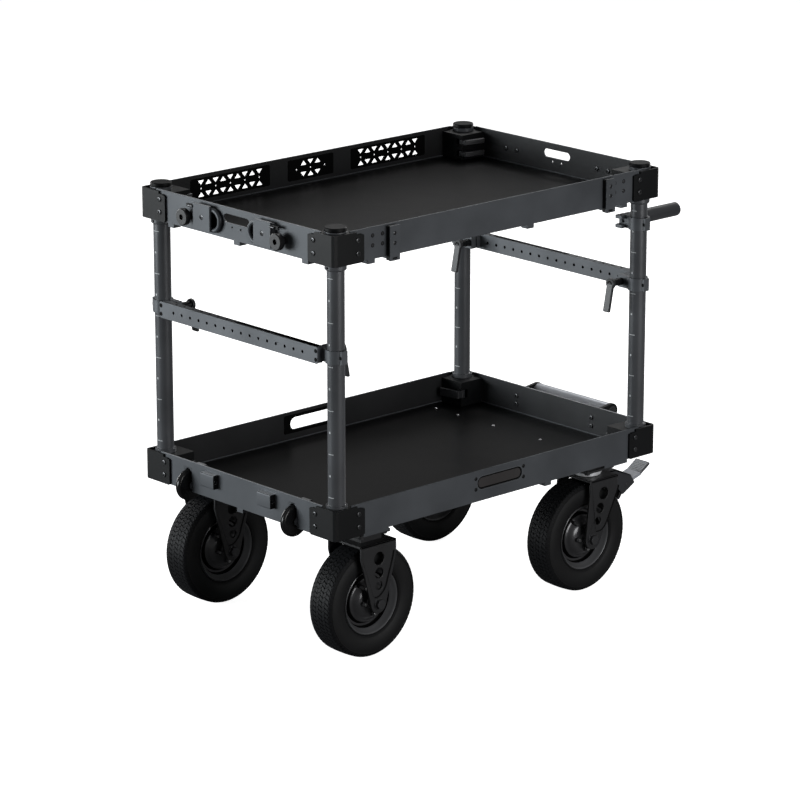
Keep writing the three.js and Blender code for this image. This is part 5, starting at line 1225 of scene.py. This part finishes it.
# Crossbar with its clamps, its inside faces near black as painted shade, and the ratchet levers that close
# the clamps
def build_crossbar(end, x, turn):
    outer = -CROSSBAR_REACH
    inner = outer + CROSSBAR_DEPTH
    bolts = [rod("x", END_BOLT_RADIUS, (outer - PROUD, outer + SEAT), (y, rise))
             for y in (-END_BOLT_Y, END_BOLT_Y) for rise in (-END_BOLT_RISE, END_BOLT_RISE)]
    beam, _ = fit_out(end + "_{}", (
        ("beam", crossbar_shapes(outer, inner), CROSSBAR, FINE_EDGE, "crossbar", "crossbar"),
        ("beam_bolts", bolts + mirrored_pair(hinge_slots()), PAINTED_SHADOW, None),
    ), (x, 0, CROSSBAR_Z), turn, f"{end}_bar")
    heart = Vector((x + (outer + inner) / 2 * math.cos(turn), 0, CROSSBAR_Z)) + Vector(CHASSIS)
    room = (CROSSBAR_DEPTH / 2 - PROUD, CROSSBAR_LENGTH / 2 - CROSSBAR_END_BLOCK, CROSSBAR_HEIGHT / 2 - PROUD)
    # Faces inside the channel get the near-black finish: painted shade
    paint(beam, PAINTED_SHADOW, lambda face: all(abs(away) < limit for away, limit in zip(face.center - heart, room)))
    for side, y in SIDES.items():
        place = (x, y * CLAMP_BOLT_Y, CROSSBAR_Z)
        fit_out(f"{end}_{{}}_{side}", ratchet_lever(), place, turn, f"{end}_clamp_{side}")


def build_push_handles():
    foot = -CLAMP_EAR_REACH + WALL_OVERLAP
    centre = (HANDLE_RADIUS - HANDLE_END_RADIUS, HANDLE_REACH - HANDLE_END_RADIUS)
    rounding = arc(centre, HANDLE_END_RADIUS, 0, QUARTER)
    profile = [(0, foot), (HANDLE_RADIUS, foot), *[(radius, -reach) for radius, reach in rounding],
               (0, -HANDLE_REACH)]
    grip = moved(lathe("x", profile), (0, CLAMP_BOLT_Y, 0))
    gap, height = HANDLE_FORK_GAP / 2, CLAMP_HEIGHT / 2
    across = around(CLAMP_BOLT_Y, 2 * CLAMP_EAR_HALF)
    ears = [box((CLAMP_EAR_REACH - WALL_OVERLAP, HANDLE_FORK_REACH), across, span)
            for span in ((gap, height), (-height, -gap))]
    stub = rod("x", CLAMP_BOLT_RADIUS, (foot, HANDLE_STUB_END), (CLAMP_BOLT_Y, 0))
    kinds = (("handle_grip", [grip], GRIP, None, "post", "push_handle"),
             ("handle_clamp", [*clamp(CLAMP_EAR_REACH), *ears, stub], CROSSBAR, FINE_EDGE),
             ("handle_clamp_slots", hinge_slots(), PAINTED_SHADOW, None))
    for side, y in SIDES.items():
        turned = [(kind, [mirrored(shape, y=-y) for shape in shapes], *rest) for kind, shapes, *rest in kinds]
        fit_out("{}_" + side, turned, (POST_X, 0, HANDLE_Z), math.pi, f"push_{side}")


def build_grab_handle():
    foot = WALL_FACE_X + FIT
    centre = (WALL_FACE_X + GRAB_REACH, GRAB_Z)
    lower = tangent_angle((foot, GRAB_FOOT_FROM_Z), centre, GRAB_ARM_RADIUS, 1)
    upper = tangent_angle((foot, GRAB_FOOT_TO_Z), centre, GRAB_ARM_RADIUS, -1)
    outline = [(foot, GRAB_FOOT_TO_Z), (foot, GRAB_FOOT_FROM_Z), *arc(centre, GRAB_ARM_RADIUS, lower, upper)]
    tube = rod("y", GRAB_RADIUS, around(0, 2 * (GRAB_ARM_Y[0] + SEAT)), centre, ROUND_SIDES)
    caps = [rod("y", GRAB_CAP_RADIUS, sided((GRAB_ARM_Y[1], GRAB_ARM_Y[1] + SEAT), side), centre)
            for side in (-1, 1)]
    fit_out("grab_{}", (
        ("tube", [tube], TUBE, None, "post", "handle"),
        ("arms", both_sides(outline, GRAB_ARM_Y), BLOCK, EDGE),
        ("caps", caps, SCREW, FINE_EDGE),
    ), (0, 0, 0))


# Cam levers on one pin, about the pivot, lying along the +X way
def cam_lever(levels, height):
    back = -(CAM_PIVOT_INSET + CAM_ARM_STANDOFF)
    front = back - CAM_ARM_THICKNESS
    root = -CAM_HEAD_RADIUS + CAM_ARM_STANDOFF
    outline = rounded([
        (root, 0, 0),
        (root, front, CAM_ARM_THICKNESS / 2),
        (CAM_ARM_LENGTH, front - CAM_ARM_FLARE, CAM_ARM_THICKNESS / 3),
        (CAM_ARM_LENGTH, back - CAM_ARM_FLARE, CAM_ARM_THICKNESS / 3),
        (CAM_HEAD_RADIUS / 2, back, CAM_ARM_THICKNESS / 2),
        (CAM_HEAD_RADIUS / 2, 0, 0),
    ])
    reach = height / 2 + CAM_PIN_RADIUS
    shapes = [rod("z", CAM_PIN_RADIUS, (min(levels) - reach, max(levels) + reach))]
    for level in levels:
        span = around(level, height)
        shapes += [rod("z", CAM_HEAD_RADIUS, span), slab("z", outline, span)]
    return shapes


def build_cam_levers():
    lower = [spun(mirrored(shape, x=-1), -QUARTER)
             for shape in cam_lever(BOTTOM_CAM_LEVELS, BOTTOM_CAM_HEIGHT)]
    levers = (("top", cam_lever(TOP_CAM_LEVELS, TOP_CAM_HEIGHT), CAM), ("bottom", lower, LEVER))
    for quarter, (corner, (x, y)) in enumerate(CORNERS.items()):
        for tray, lever, material in levers:
            place = (x * (POST_X - CAM_PIVOT), y * (POST_Y - CAM_PIVOT), TRAYS[tray])
            piece(f"{tray}_cam_{corner}", lever, material, place, quarter * QUARTER, f"{tray}_cam_{corner}",
                  EDGE, f"{tray}_cam_lever_{corner}")


def wheel_point(radius, turn, w):
    return (radius * math.cos(turn), w, radius * math.sin(turn))


# Tread block between two widths, slanted along the wheel's turn
def tread_block(turn, length, slant, low, high, tops, foot):
    vertices, faces = [], []
    for i in range(TREAD_STEPS + 1):
        share = i / TREAD_STEPS
        w = low + (high - low) * share
        start = turn + slant * share
        for radius in (foot, tops[0] + (tops[1] - tops[0]) * share):
            vertices += [wheel_point(radius, start, w), wheel_point(radius, start + length, w)]
    for a in range(0, 4 * TREAD_STEPS, 4):
        b = a + 4
        faces += [(a, a + 1, b + 1, b), (a + 2, b + 2, b + 3, a + 3), (a, b, b + 2, a + 2),
                  (a + 1, a + 3, b + 3, b + 1)]
    end = 4 * TREAD_STEPS
    return vertices, [*faces, (0, 2, 3, 1), (end, end + 1, end + 3, end + 2)]


# Slanted blocks in rows, and the lugs over both shoulders
def tread_shapes():
    pitch = 2 * math.pi / TREAD_BLOCKS
    length = pitch * TREAD_BLOCK_SHARE
    foot = CARCASS_RADIUS - 2 * TREAD_CROWN
    shoulder = WHEEL_RADIUS - 2 * TREAD_CROWN
    shapes = []
    for side in (-1, 1):
        bands = [(TREAD_EDGE_Y, SHOULDER_LUG_FROM, 0, 0, [shoulder, shoulder], foot),
                 (SHOULDER_LUG_FROM, SHOULDER_LUG_TO, 0, 0, [shoulder, SHOULDER_LUG_RADIUS],
                  SHOULDER_LUG_RADIUS - SEAT)]
        for number, (low, high) in enumerate(TREAD_ROWS):
            slant = TREAD_SLANT * pitch * (1 if number % 2 else -1)
            tops = [WHEEL_RADIUS - TREAD_CROWN * (w / TREAD_EDGE_Y) ** 2 for w in (low, high)]
            bands.append((low, high, number / 3, slant, tops, foot))
        for low, high, shift, slant, tops, base in bands:
            for i in range(TREAD_BLOCKS):
                turn = pitch * (i + shift + (side > 0) / 2)
                shapes.append(tread_block(turn, length, slant, side * low, side * high, tops, base))
    return shapes


# Full profile from the half on the plus side
def whole(half):
    return [*half, *[(radius, -w) for radius, w in half[::-1]]]


def wheel_fasteners():
    heads, studs = [], []
    for side in (-1, 1):
        for i in range(LUG_BOLTS):
            place = wheel_point(LUG_BOLT_CIRCLE, 2 * math.pi * i / LUG_BOLTS, side * LUG_BOLT_SEAT_Y)
            head = facing(hex_head(LUG_BOLT_RADIUS, LUG_BOLT_HEIGHT), (0, side, 0))
            stud = facing(rod("z", LUG_STUD_RADIUS, (0, LUG_STUD_HEIGHT)), (0, side, 0))
            heads.append(moved(head, place))
            studs.append(moved(stud, place))
    foot = Vector(wheel_point(VALVE_CIRCLE, VALVE_TURN, -VALVE_SEAT_Y))
    tip = wheel_point(VALVE_CIRCLE - VALVE_LENGTH / 3, VALVE_TURN, -VALVE_SEAT_Y - VALVE_LENGTH)
    way = Vector(tip) - foot
    half = way.length / 2
    stem = moved(facing(rod("z", VALVE_RADIUS + SEAT, (0, half)), way), foot)
    cap = moved(facing(rod("z", VALVE_RADIUS, (half, 2 * half)), way), foot)
    return heads, [*studs, cap], [stem]


def ring_radius(face, hub):
    return math.hypot(face.center.x - hub.x, face.center.z - hub.z)


def build_wheels():
    heads, bright, stem = wheel_fasteners()
    kinds = (
        ("carcass", [lathe("y", whole(CARCASS_HALF), WHEEL_SIDES)], TYRE, None, "tyre", "tyre"),
        ("tread", tread_shapes(), TREAD, None, "tyre", None),
        ("disc", [lathe("y", whole(RIM_HALF), WHEEL_SIDES)], RIM, None, "rim", "rim"),
        ("lug_bolts", heads, SCREW, FINE_EDGE),
        ("lug_studs", bright, STEEL, FINE_EDGE),
        ("valve", stem, RUBBER, FINE_EDGE),
    )
    for end, x in (("front", -RIGID_WHEEL_X), ("rear", SWIVEL_X - TRAIL)):
        for side, y in SIDES.items():
            place = (x, y * WHEEL_Y, WHEEL_RADIUS)
            disc = fit_out(f"{end}_{{}}_{side}", kinds, place, 0, f"{end}_wheel_{side}")[2]
            hub = Vector(place) + Vector(CHASSIS)
            # The rim's well is near black as painted shade, and the flare gets the lighter rim paint as a
            # painted reflection
            paint(disc, PANEL_BLACK_AND_PAINTED_SHADE, lambda face: WELL_FROM < ring_radius(face, hub) < WELL_TO)
            paint(disc, RIM_FLARE_REFLECTION, lambda face: WELL_TO < ring_radius(face, hub) < FLARE_TO)


# Fork plates down to a round foot about the axle, and their doublers from the left edge to the doubler's
# lower edge, beside which a painted shadow strip lies
def fork_sides(front, rear, foot, foot_radius, offsets, left, doubler_edge):
    first = tangent_angle(front[-1], foot, foot_radius, 1)
    last = tangent_angle(rear[-1], foot, foot_radius, -1) + 2 * math.pi
    outline = [*front, *arc(foot, foot_radius, first, last), *rear[::-1]]
    places = zip(offsets, PLATE_HOLE_HEIGHTS, PLATE_HOLE_RADII)
    holes = [circle(u, v, radius, ROUND_SIDES) for u, v, radius in places]
    doubler = [*left, *smooth_path(doubler_edge)]
    return (both_sides(outline, (FORK_REACH - FORK_THICKNESS, FORK_REACH), holes),
            both_sides(doubler, (FORK_REACH - SEAT, FORK_REACH + DOUBLER_PROUD), holes))


# Near-black strip just beside a doubler's edge: a painted shadow
def plate_grooves(points):
    outline = ribbon([(u + EDGE_SHADOW_WIDTH / 2, v) for u, v in smooth_path(points)], EDGE_SHADOW_WIDTH)
    return both_sides(outline, (FORK_REACH - SEAT, FORK_REACH + EDGE_SHADOW_PROUD))


def axle_shapes(x):
    reach = FORK_REACH + WASHER_HEIGHT
    shapes = [rod("y", AXLE_RADIUS, (-reach, reach), (x, WHEEL_RADIUS))]
    parts = (rod("z", WASHER_RADIUS, (-SEAT, WASHER_HEIGHT)), hex_head(AXLE_HEAD_RADIUS, AXLE_HEAD_HEIGHT))
    for side in (-1, 1):
        place = (x, side * FORK_REACH, WHEEL_RADIUS)
        shapes += [moved(facing(part, (0, side, 0)), place) for part in parts]
    return shapes


def base_plate():
    plate, pad = around(0, BASE_SIZE), around(0, PAD_SIZE)
    top = BASE_BOTTOM_Z + BASE_THICKNESS
    return [slab("z", rectangle(plate, plate, BASE_THICKNESS), (BASE_BOTTOM_Z, top)),
            slab("z", rectangle(pad, pad, BASE_THICKNESS), (top - SEAT, BOTTOM_TRAY_Z - FIT))]


def base_bolts():
    head = spun(hex_head(BASE_BOLT_RADIUS, BASE_BOLT_HEIGHT), math.pi, "X")
    return [moved(head, (x * BASE_BOLT_OFFSET, y * BASE_BOLT_OFFSET, BASE_BOTTOM_Z))
            for x in (-1, 1) for y in (-1, 1)]


def build_rigid_forks():
    front = [(-RIGID_PLATE_HALF, CROWN_TOP_Z), (-RIGID_PLATE_HALF, RIGID_SHOULDER_Z)]
    rear = [(-u, v) for u, v in front]
    plates, doublers = fork_sides(front, rear, (0, WHEEL_RADIUS), RIGID_FOOT_RADIUS, (0, 0, 0),
                                  RIGID_DOUBLER, RIGID_DOUBLER_EDGE)
    crown = box((-RIGID_PLATE_HALF, RIGID_PLATE_HALF), (-FORK_REACH, FORK_REACH),
                (CROWN_BOTTOM_Z, CROWN_TOP_Z))
    across = around(0, RIGID_SPACER)
    spacer = box(across, across, (CROWN_TOP_Z - SEAT, BASE_BOTTOM_Z + SEAT))
    shapes = [*plates, crown, spacer, *base_plate(), *doublers]
    kinds = (
        ("rigid_fork", shapes, FORK, FORK_EDGE, "fork", "front_fork"),
        ("rigid_fork_axle", axle_shapes(0), SCREW, FINE_EDGE),
        ("rigid_fork_grooves", plate_grooves(RIGID_DOUBLER_EDGE), PAINTED_SHADOW, None),
        ("rigid_fork_bolts", base_bolts(), SCREW, FINE_EDGE),
    )
    fit_sides(kinds, -RIGID_WHEEL_X, WHEEL_Y, 0)


def brake_bracket():
    root = [(SWIVEL_PLATE_FRONT, CROWN_TOP_Z), (SWIVEL_PLATE_FRONT, CROWN_BOTTOM_Z)]
    neck = (BRAKE_NECK_TOP, CROWN_TOP_Z)
    cheek = [*root, BRAKE_NECK_BOTTOM, BRAKE_HEEL, BRAKE_TIP, BRAKE_TOP, neck]
    cover = [*root, (BRAKE_NECK_TOP - BRAKE_CHEEK_THICKNESS / 2, CROWN_BOTTOM_Z),
             (BRAKE_TOP[0], BRAKE_TOP[1] - BRAKE_CHEEK_THICKNESS), BRAKE_TOP, neck]
    outside = BRAKE_CHEEK_Y + BRAKE_CHEEK_THICKNESS
    return [*both_sides(cheek, (BRAKE_CHEEK_Y, outside)), slab("y", cover, (-outside, outside))]


def build_swivel_forks():
    rear = [(SWIVEL_PLATE_REAR, CROWN_TOP_Z), (SWIVEL_SHOULDER_REAR, SWIVEL_SHOULDER_Z)]
    foot = (SWIVEL_FOOT_OFFSET - TRAIL, WHEEL_RADIUS)
    plates, doublers = fork_sides([(-SWIVEL_PLATE_FRONT, CROWN_TOP_Z)], rear, foot, SWIVEL_FOOT_RADIUS,
                                  SWIVEL_HOLE_OFFSETS, SWIVEL_DOUBLER, SWIVEL_DOUBLER_EDGE)
    outline = rectangle((-SWIVEL_PLATE_FRONT, SWIVEL_PLATE_REAR), (-FORK_REACH, FORK_REACH))
    crown = slab("z", outline, (CROWN_BOTTOM_Z, CROWN_TOP_Z), [circle(0, 0, KINGPIN_RADIUS + FIT)])
    pin_reach = BRAKE_CHEEK_Y + BRAKE_CHEEK_THICKNESS + SEAT
    pin = rod("y", BRAKE_PIN_RADIUS, (-pin_reach, pin_reach), BRAKE_PIVOT)
    kinds = (
        ("caster_fork", [*plates, crown, *doublers], FORK, FORK_EDGE, "fork", "swivel_fork"),
        ("caster_bracket", brake_bracket(), BRACKET, FORK_EDGE),
        ("caster_axle", [*axle_shapes(-TRAIL), pin], SCREW, FINE_EDGE),
        ("caster_grooves", plate_grooves(SWIVEL_DOUBLER_EDGE), PAINTED_SHADOW, None),
    )
    fit_sides(kinds, SWIVEL_X, WHEEL_Y, 0, "swivel_{}")


def build_swivel_heads():
    race_foot = CROWN_TOP_Z + FIT
    nut_top = CROWN_BOTTOM_Z - FIT
    nut_foot = nut_top - KINGPIN_NUT_HEIGHT
    middle = (race_foot + BASE_BOTTOM_Z) / 2
    race = lathe("z", [
        (0, nut_foot), (KINGPIN_NUT_RADIUS, nut_foot), (KINGPIN_NUT_RADIUS, nut_top),
        (KINGPIN_RADIUS, nut_top), (KINGPIN_RADIUS, race_foot), (RACE_RADIUS - SOFT_EDGE, race_foot),
        (RACE_RADIUS, race_foot + SOFT_EDGE), (RACE_RADIUS, middle - SEAT), (RACE_LIP, middle),
        (RACE_LIP, BASE_BOTTOM_Z + SEAT), (0, BASE_BOTTOM_Z + SEAT),
    ])
    kinds = (
        ("caster_race", [race], ZINC, FINE_EDGE, "zinc", "swivel_head"),
        ("caster_base", base_plate(), FORK, EDGE),
        ("caster_base_bolts", base_bolts(), SCREW, FINE_EDGE),
    )
    fit_sides(kinds, SWIVEL_X, WHEEL_Y, 0)


# Brake pedal about its pivot: black shoe arm, silver neck and ribbed tread plate
def build_brake_pedals():
    pivot = Vector(BRAKE_PIVOT)
    start = Vector(PEDAL_START) - pivot
    way = Vector(PEDAL_END) - pivot - start
    shoe = (BRAKE_SHOE_LENGTH * math.cos(BRAKE_SHOE_TURN), BRAKE_SHOE_LENGTH * math.sin(BRAKE_SHOE_TURN))
    inside = around(0, 2 * (BRAKE_CHEEK_Y - FIT))
    outline = rectangle((0, way.length), around(0, PEDAL_WIDTH), PEDAL_THICKNESS / 2)
    tread = [slab("z", outline, around(0, PEDAL_THICKNESS))]
    pitch = way.length / (PEDAL_RIBS + 1)
    width = around(0, PEDAL_WIDTH - PEDAL_THICKNESS)
    ribs = [rod("y", PEDAL_RIB_RADIUS, width, (pitch * (i + 1), PEDAL_THICKNESS / 2))
            for i in range(PEDAL_RIBS)]
    tilt = -math.atan2(way.y, way.x)
    tread, ribs = [[moved(spun(shape, tilt, "Y"), (start.x, 0, start.y)) for shape in shapes]
                   for shapes in (tread, ribs)]
    kinds = (
        ("pedal_tread", tread, TREADLE, FINE_EDGE, "lever", "brake_pedal"),
        ("pedal_ribs", ribs, RIB, None),
        ("pedal_neck", [slab("y", strip(start, BRAKE_ARM_THICKNESS), inside)], PEDAL, FINE_EDGE),
        ("pedal_shoe", [slab("y", strip(shoe, BRAKE_ARM_THICKNESS), inside)], FORK, FINE_EDGE),
    )
    fit_sides(kinds, SWIVEL_X + pivot.x, WHEEL_Y, pivot.y, "brake_{}")


# Ground that glows white to the camera and lights the cart only a little
def build_stage():
    material = shader("stage_pale", (STAGE_WHITE,) * 3, STAGE_ROUGHNESS, specular=0)
    tree = material.node_tree
    emission = {"Emission Color": (1, 1, 1, 1), "Emission Strength": STAGE_GLOW}
    glow = linked(tree, "Principled BSDF", emission, {})
    bounce = linked(tree, "ShaderNodeBsdfDiffuse", {"Color": (*(STAGE_BOUNCE,) * 3, 1)}, {})
    ray = tree.nodes.new("ShaderNodeLightPath")
    sources = {"Fac": ray.outputs["Is Camera Ray"], 1: bounce.outputs["BSDF"], 2: glow.outputs["BSDF"]}
    mix = linked(tree, "ShaderNodeMixShader", {}, sources)
    linked(tree, "Material Output", {}, {"Surface": mix.outputs["Shader"]})
    mesh = bpy.data.meshes.new("stage_floor")
    outline = rectangle((-STAGE_HALF, STAGE_HALF), (-STAGE_HALF, STAGE_HALF))
    mesh.from_pydata([(x, y, 0) for x, y in outline], [], [(0, 1, 2, 3)])
    mesh.materials.append(material)
    floor = bpy.data.objects.new("stage_floor", mesh)
    bpy.context.scene.collection.objects.link(floor)


# Dim world: its own light, its sheen in reflections and white behind the cart
def build_world():
    world = bpy.data.worlds.new("studio")
    world.use_nodes = True
    tree = world.node_tree
    white = {"Color": (1, 1, 1, 1)}
    result = linked(tree, "Background", {**white, "Strength": WORLD_LIGHT}, {}).outputs["Background"]
    ray = tree.nodes.new("ShaderNodeLightPath")
    for kind, strength in (("Is Glossy Ray", WORLD_SHEEN), ("Is Camera Ray", 1)):
        backdrop = linked(tree, "ShaderNodeBackground", {**white, "Strength": strength}, {})
        sources = {"Fac": ray.outputs[kind], 1: result, 2: backdrop.outputs["Background"]}
        result = linked(tree, "ShaderNodeMixShader", {}, sources).outputs["Shader"]
    linked(tree, "World Output", {}, {"Surface": result})
    bpy.context.scene.world = world
    bpy.context.scene.view_settings.view_transform = "Standard"


def area_light(name, place, size, power, color):
    data = bpy.data.lights.new(name, "AREA")
    data.shape = "RECTANGLE"
    data.size, data.size_y = size
    data.energy = power
    data.color = color
    light = bpy.data.objects.new(name, data)
    light.location = place
    way = Vector(LIGHT_TARGET) - Vector(place)
    light.rotation_euler = way.to_track_quat("-Z", "Y").to_euler()
    bpy.context.scene.collection.objects.link(light)


def build_camera():
    data = bpy.data.cameras.new("photograph")
    data.lens = CAMERA_LENS
    data.sensor_width = CAMERA_SENSOR
    data.clip_end = CAMERA_CLIP
    camera = bpy.data.objects.new("photograph", data)
    flat = math.cos(CAMERA_ELEVATION)
    way = Vector((math.sin(CAMERA_AZIMUTH) * flat, -math.cos(CAMERA_AZIMUTH) * flat,
                  math.sin(CAMERA_ELEVATION)))
    camera.location = Vector(CAMERA_TARGET) + CAMERA_DISTANCE * way
    camera.rotation_euler = way.to_track_quat("Z", "Y").to_euler()
    bpy.context.scene.collection.objects.link(camera)
    bpy.context.scene.camera = camera


build_camera()
build_stage()
build_world()
for light in LIGHTS:
    area_light(*light)
build_posts()
build_corner_blocks()
build_floors()
build_top_front_wall()
build_top_rear_wall()
build_top_near_wall()
build_top_far_wall()
build_bottom_front_wall()
build_bottom_rear_wall()
build_bottom_near_wall()
build_bottom_far_wall()
build_bumpers()
build_rollers()
build_cam_levers()
build_crossbar("front", -POST_X, 0)
build_crossbar("rear", POST_X, math.pi)
build_push_handles()
build_grab_handle()
build_wheels()
build_rigid_forks()
build_swivel_forks()
build_swivel_heads()
build_brake_pedals()
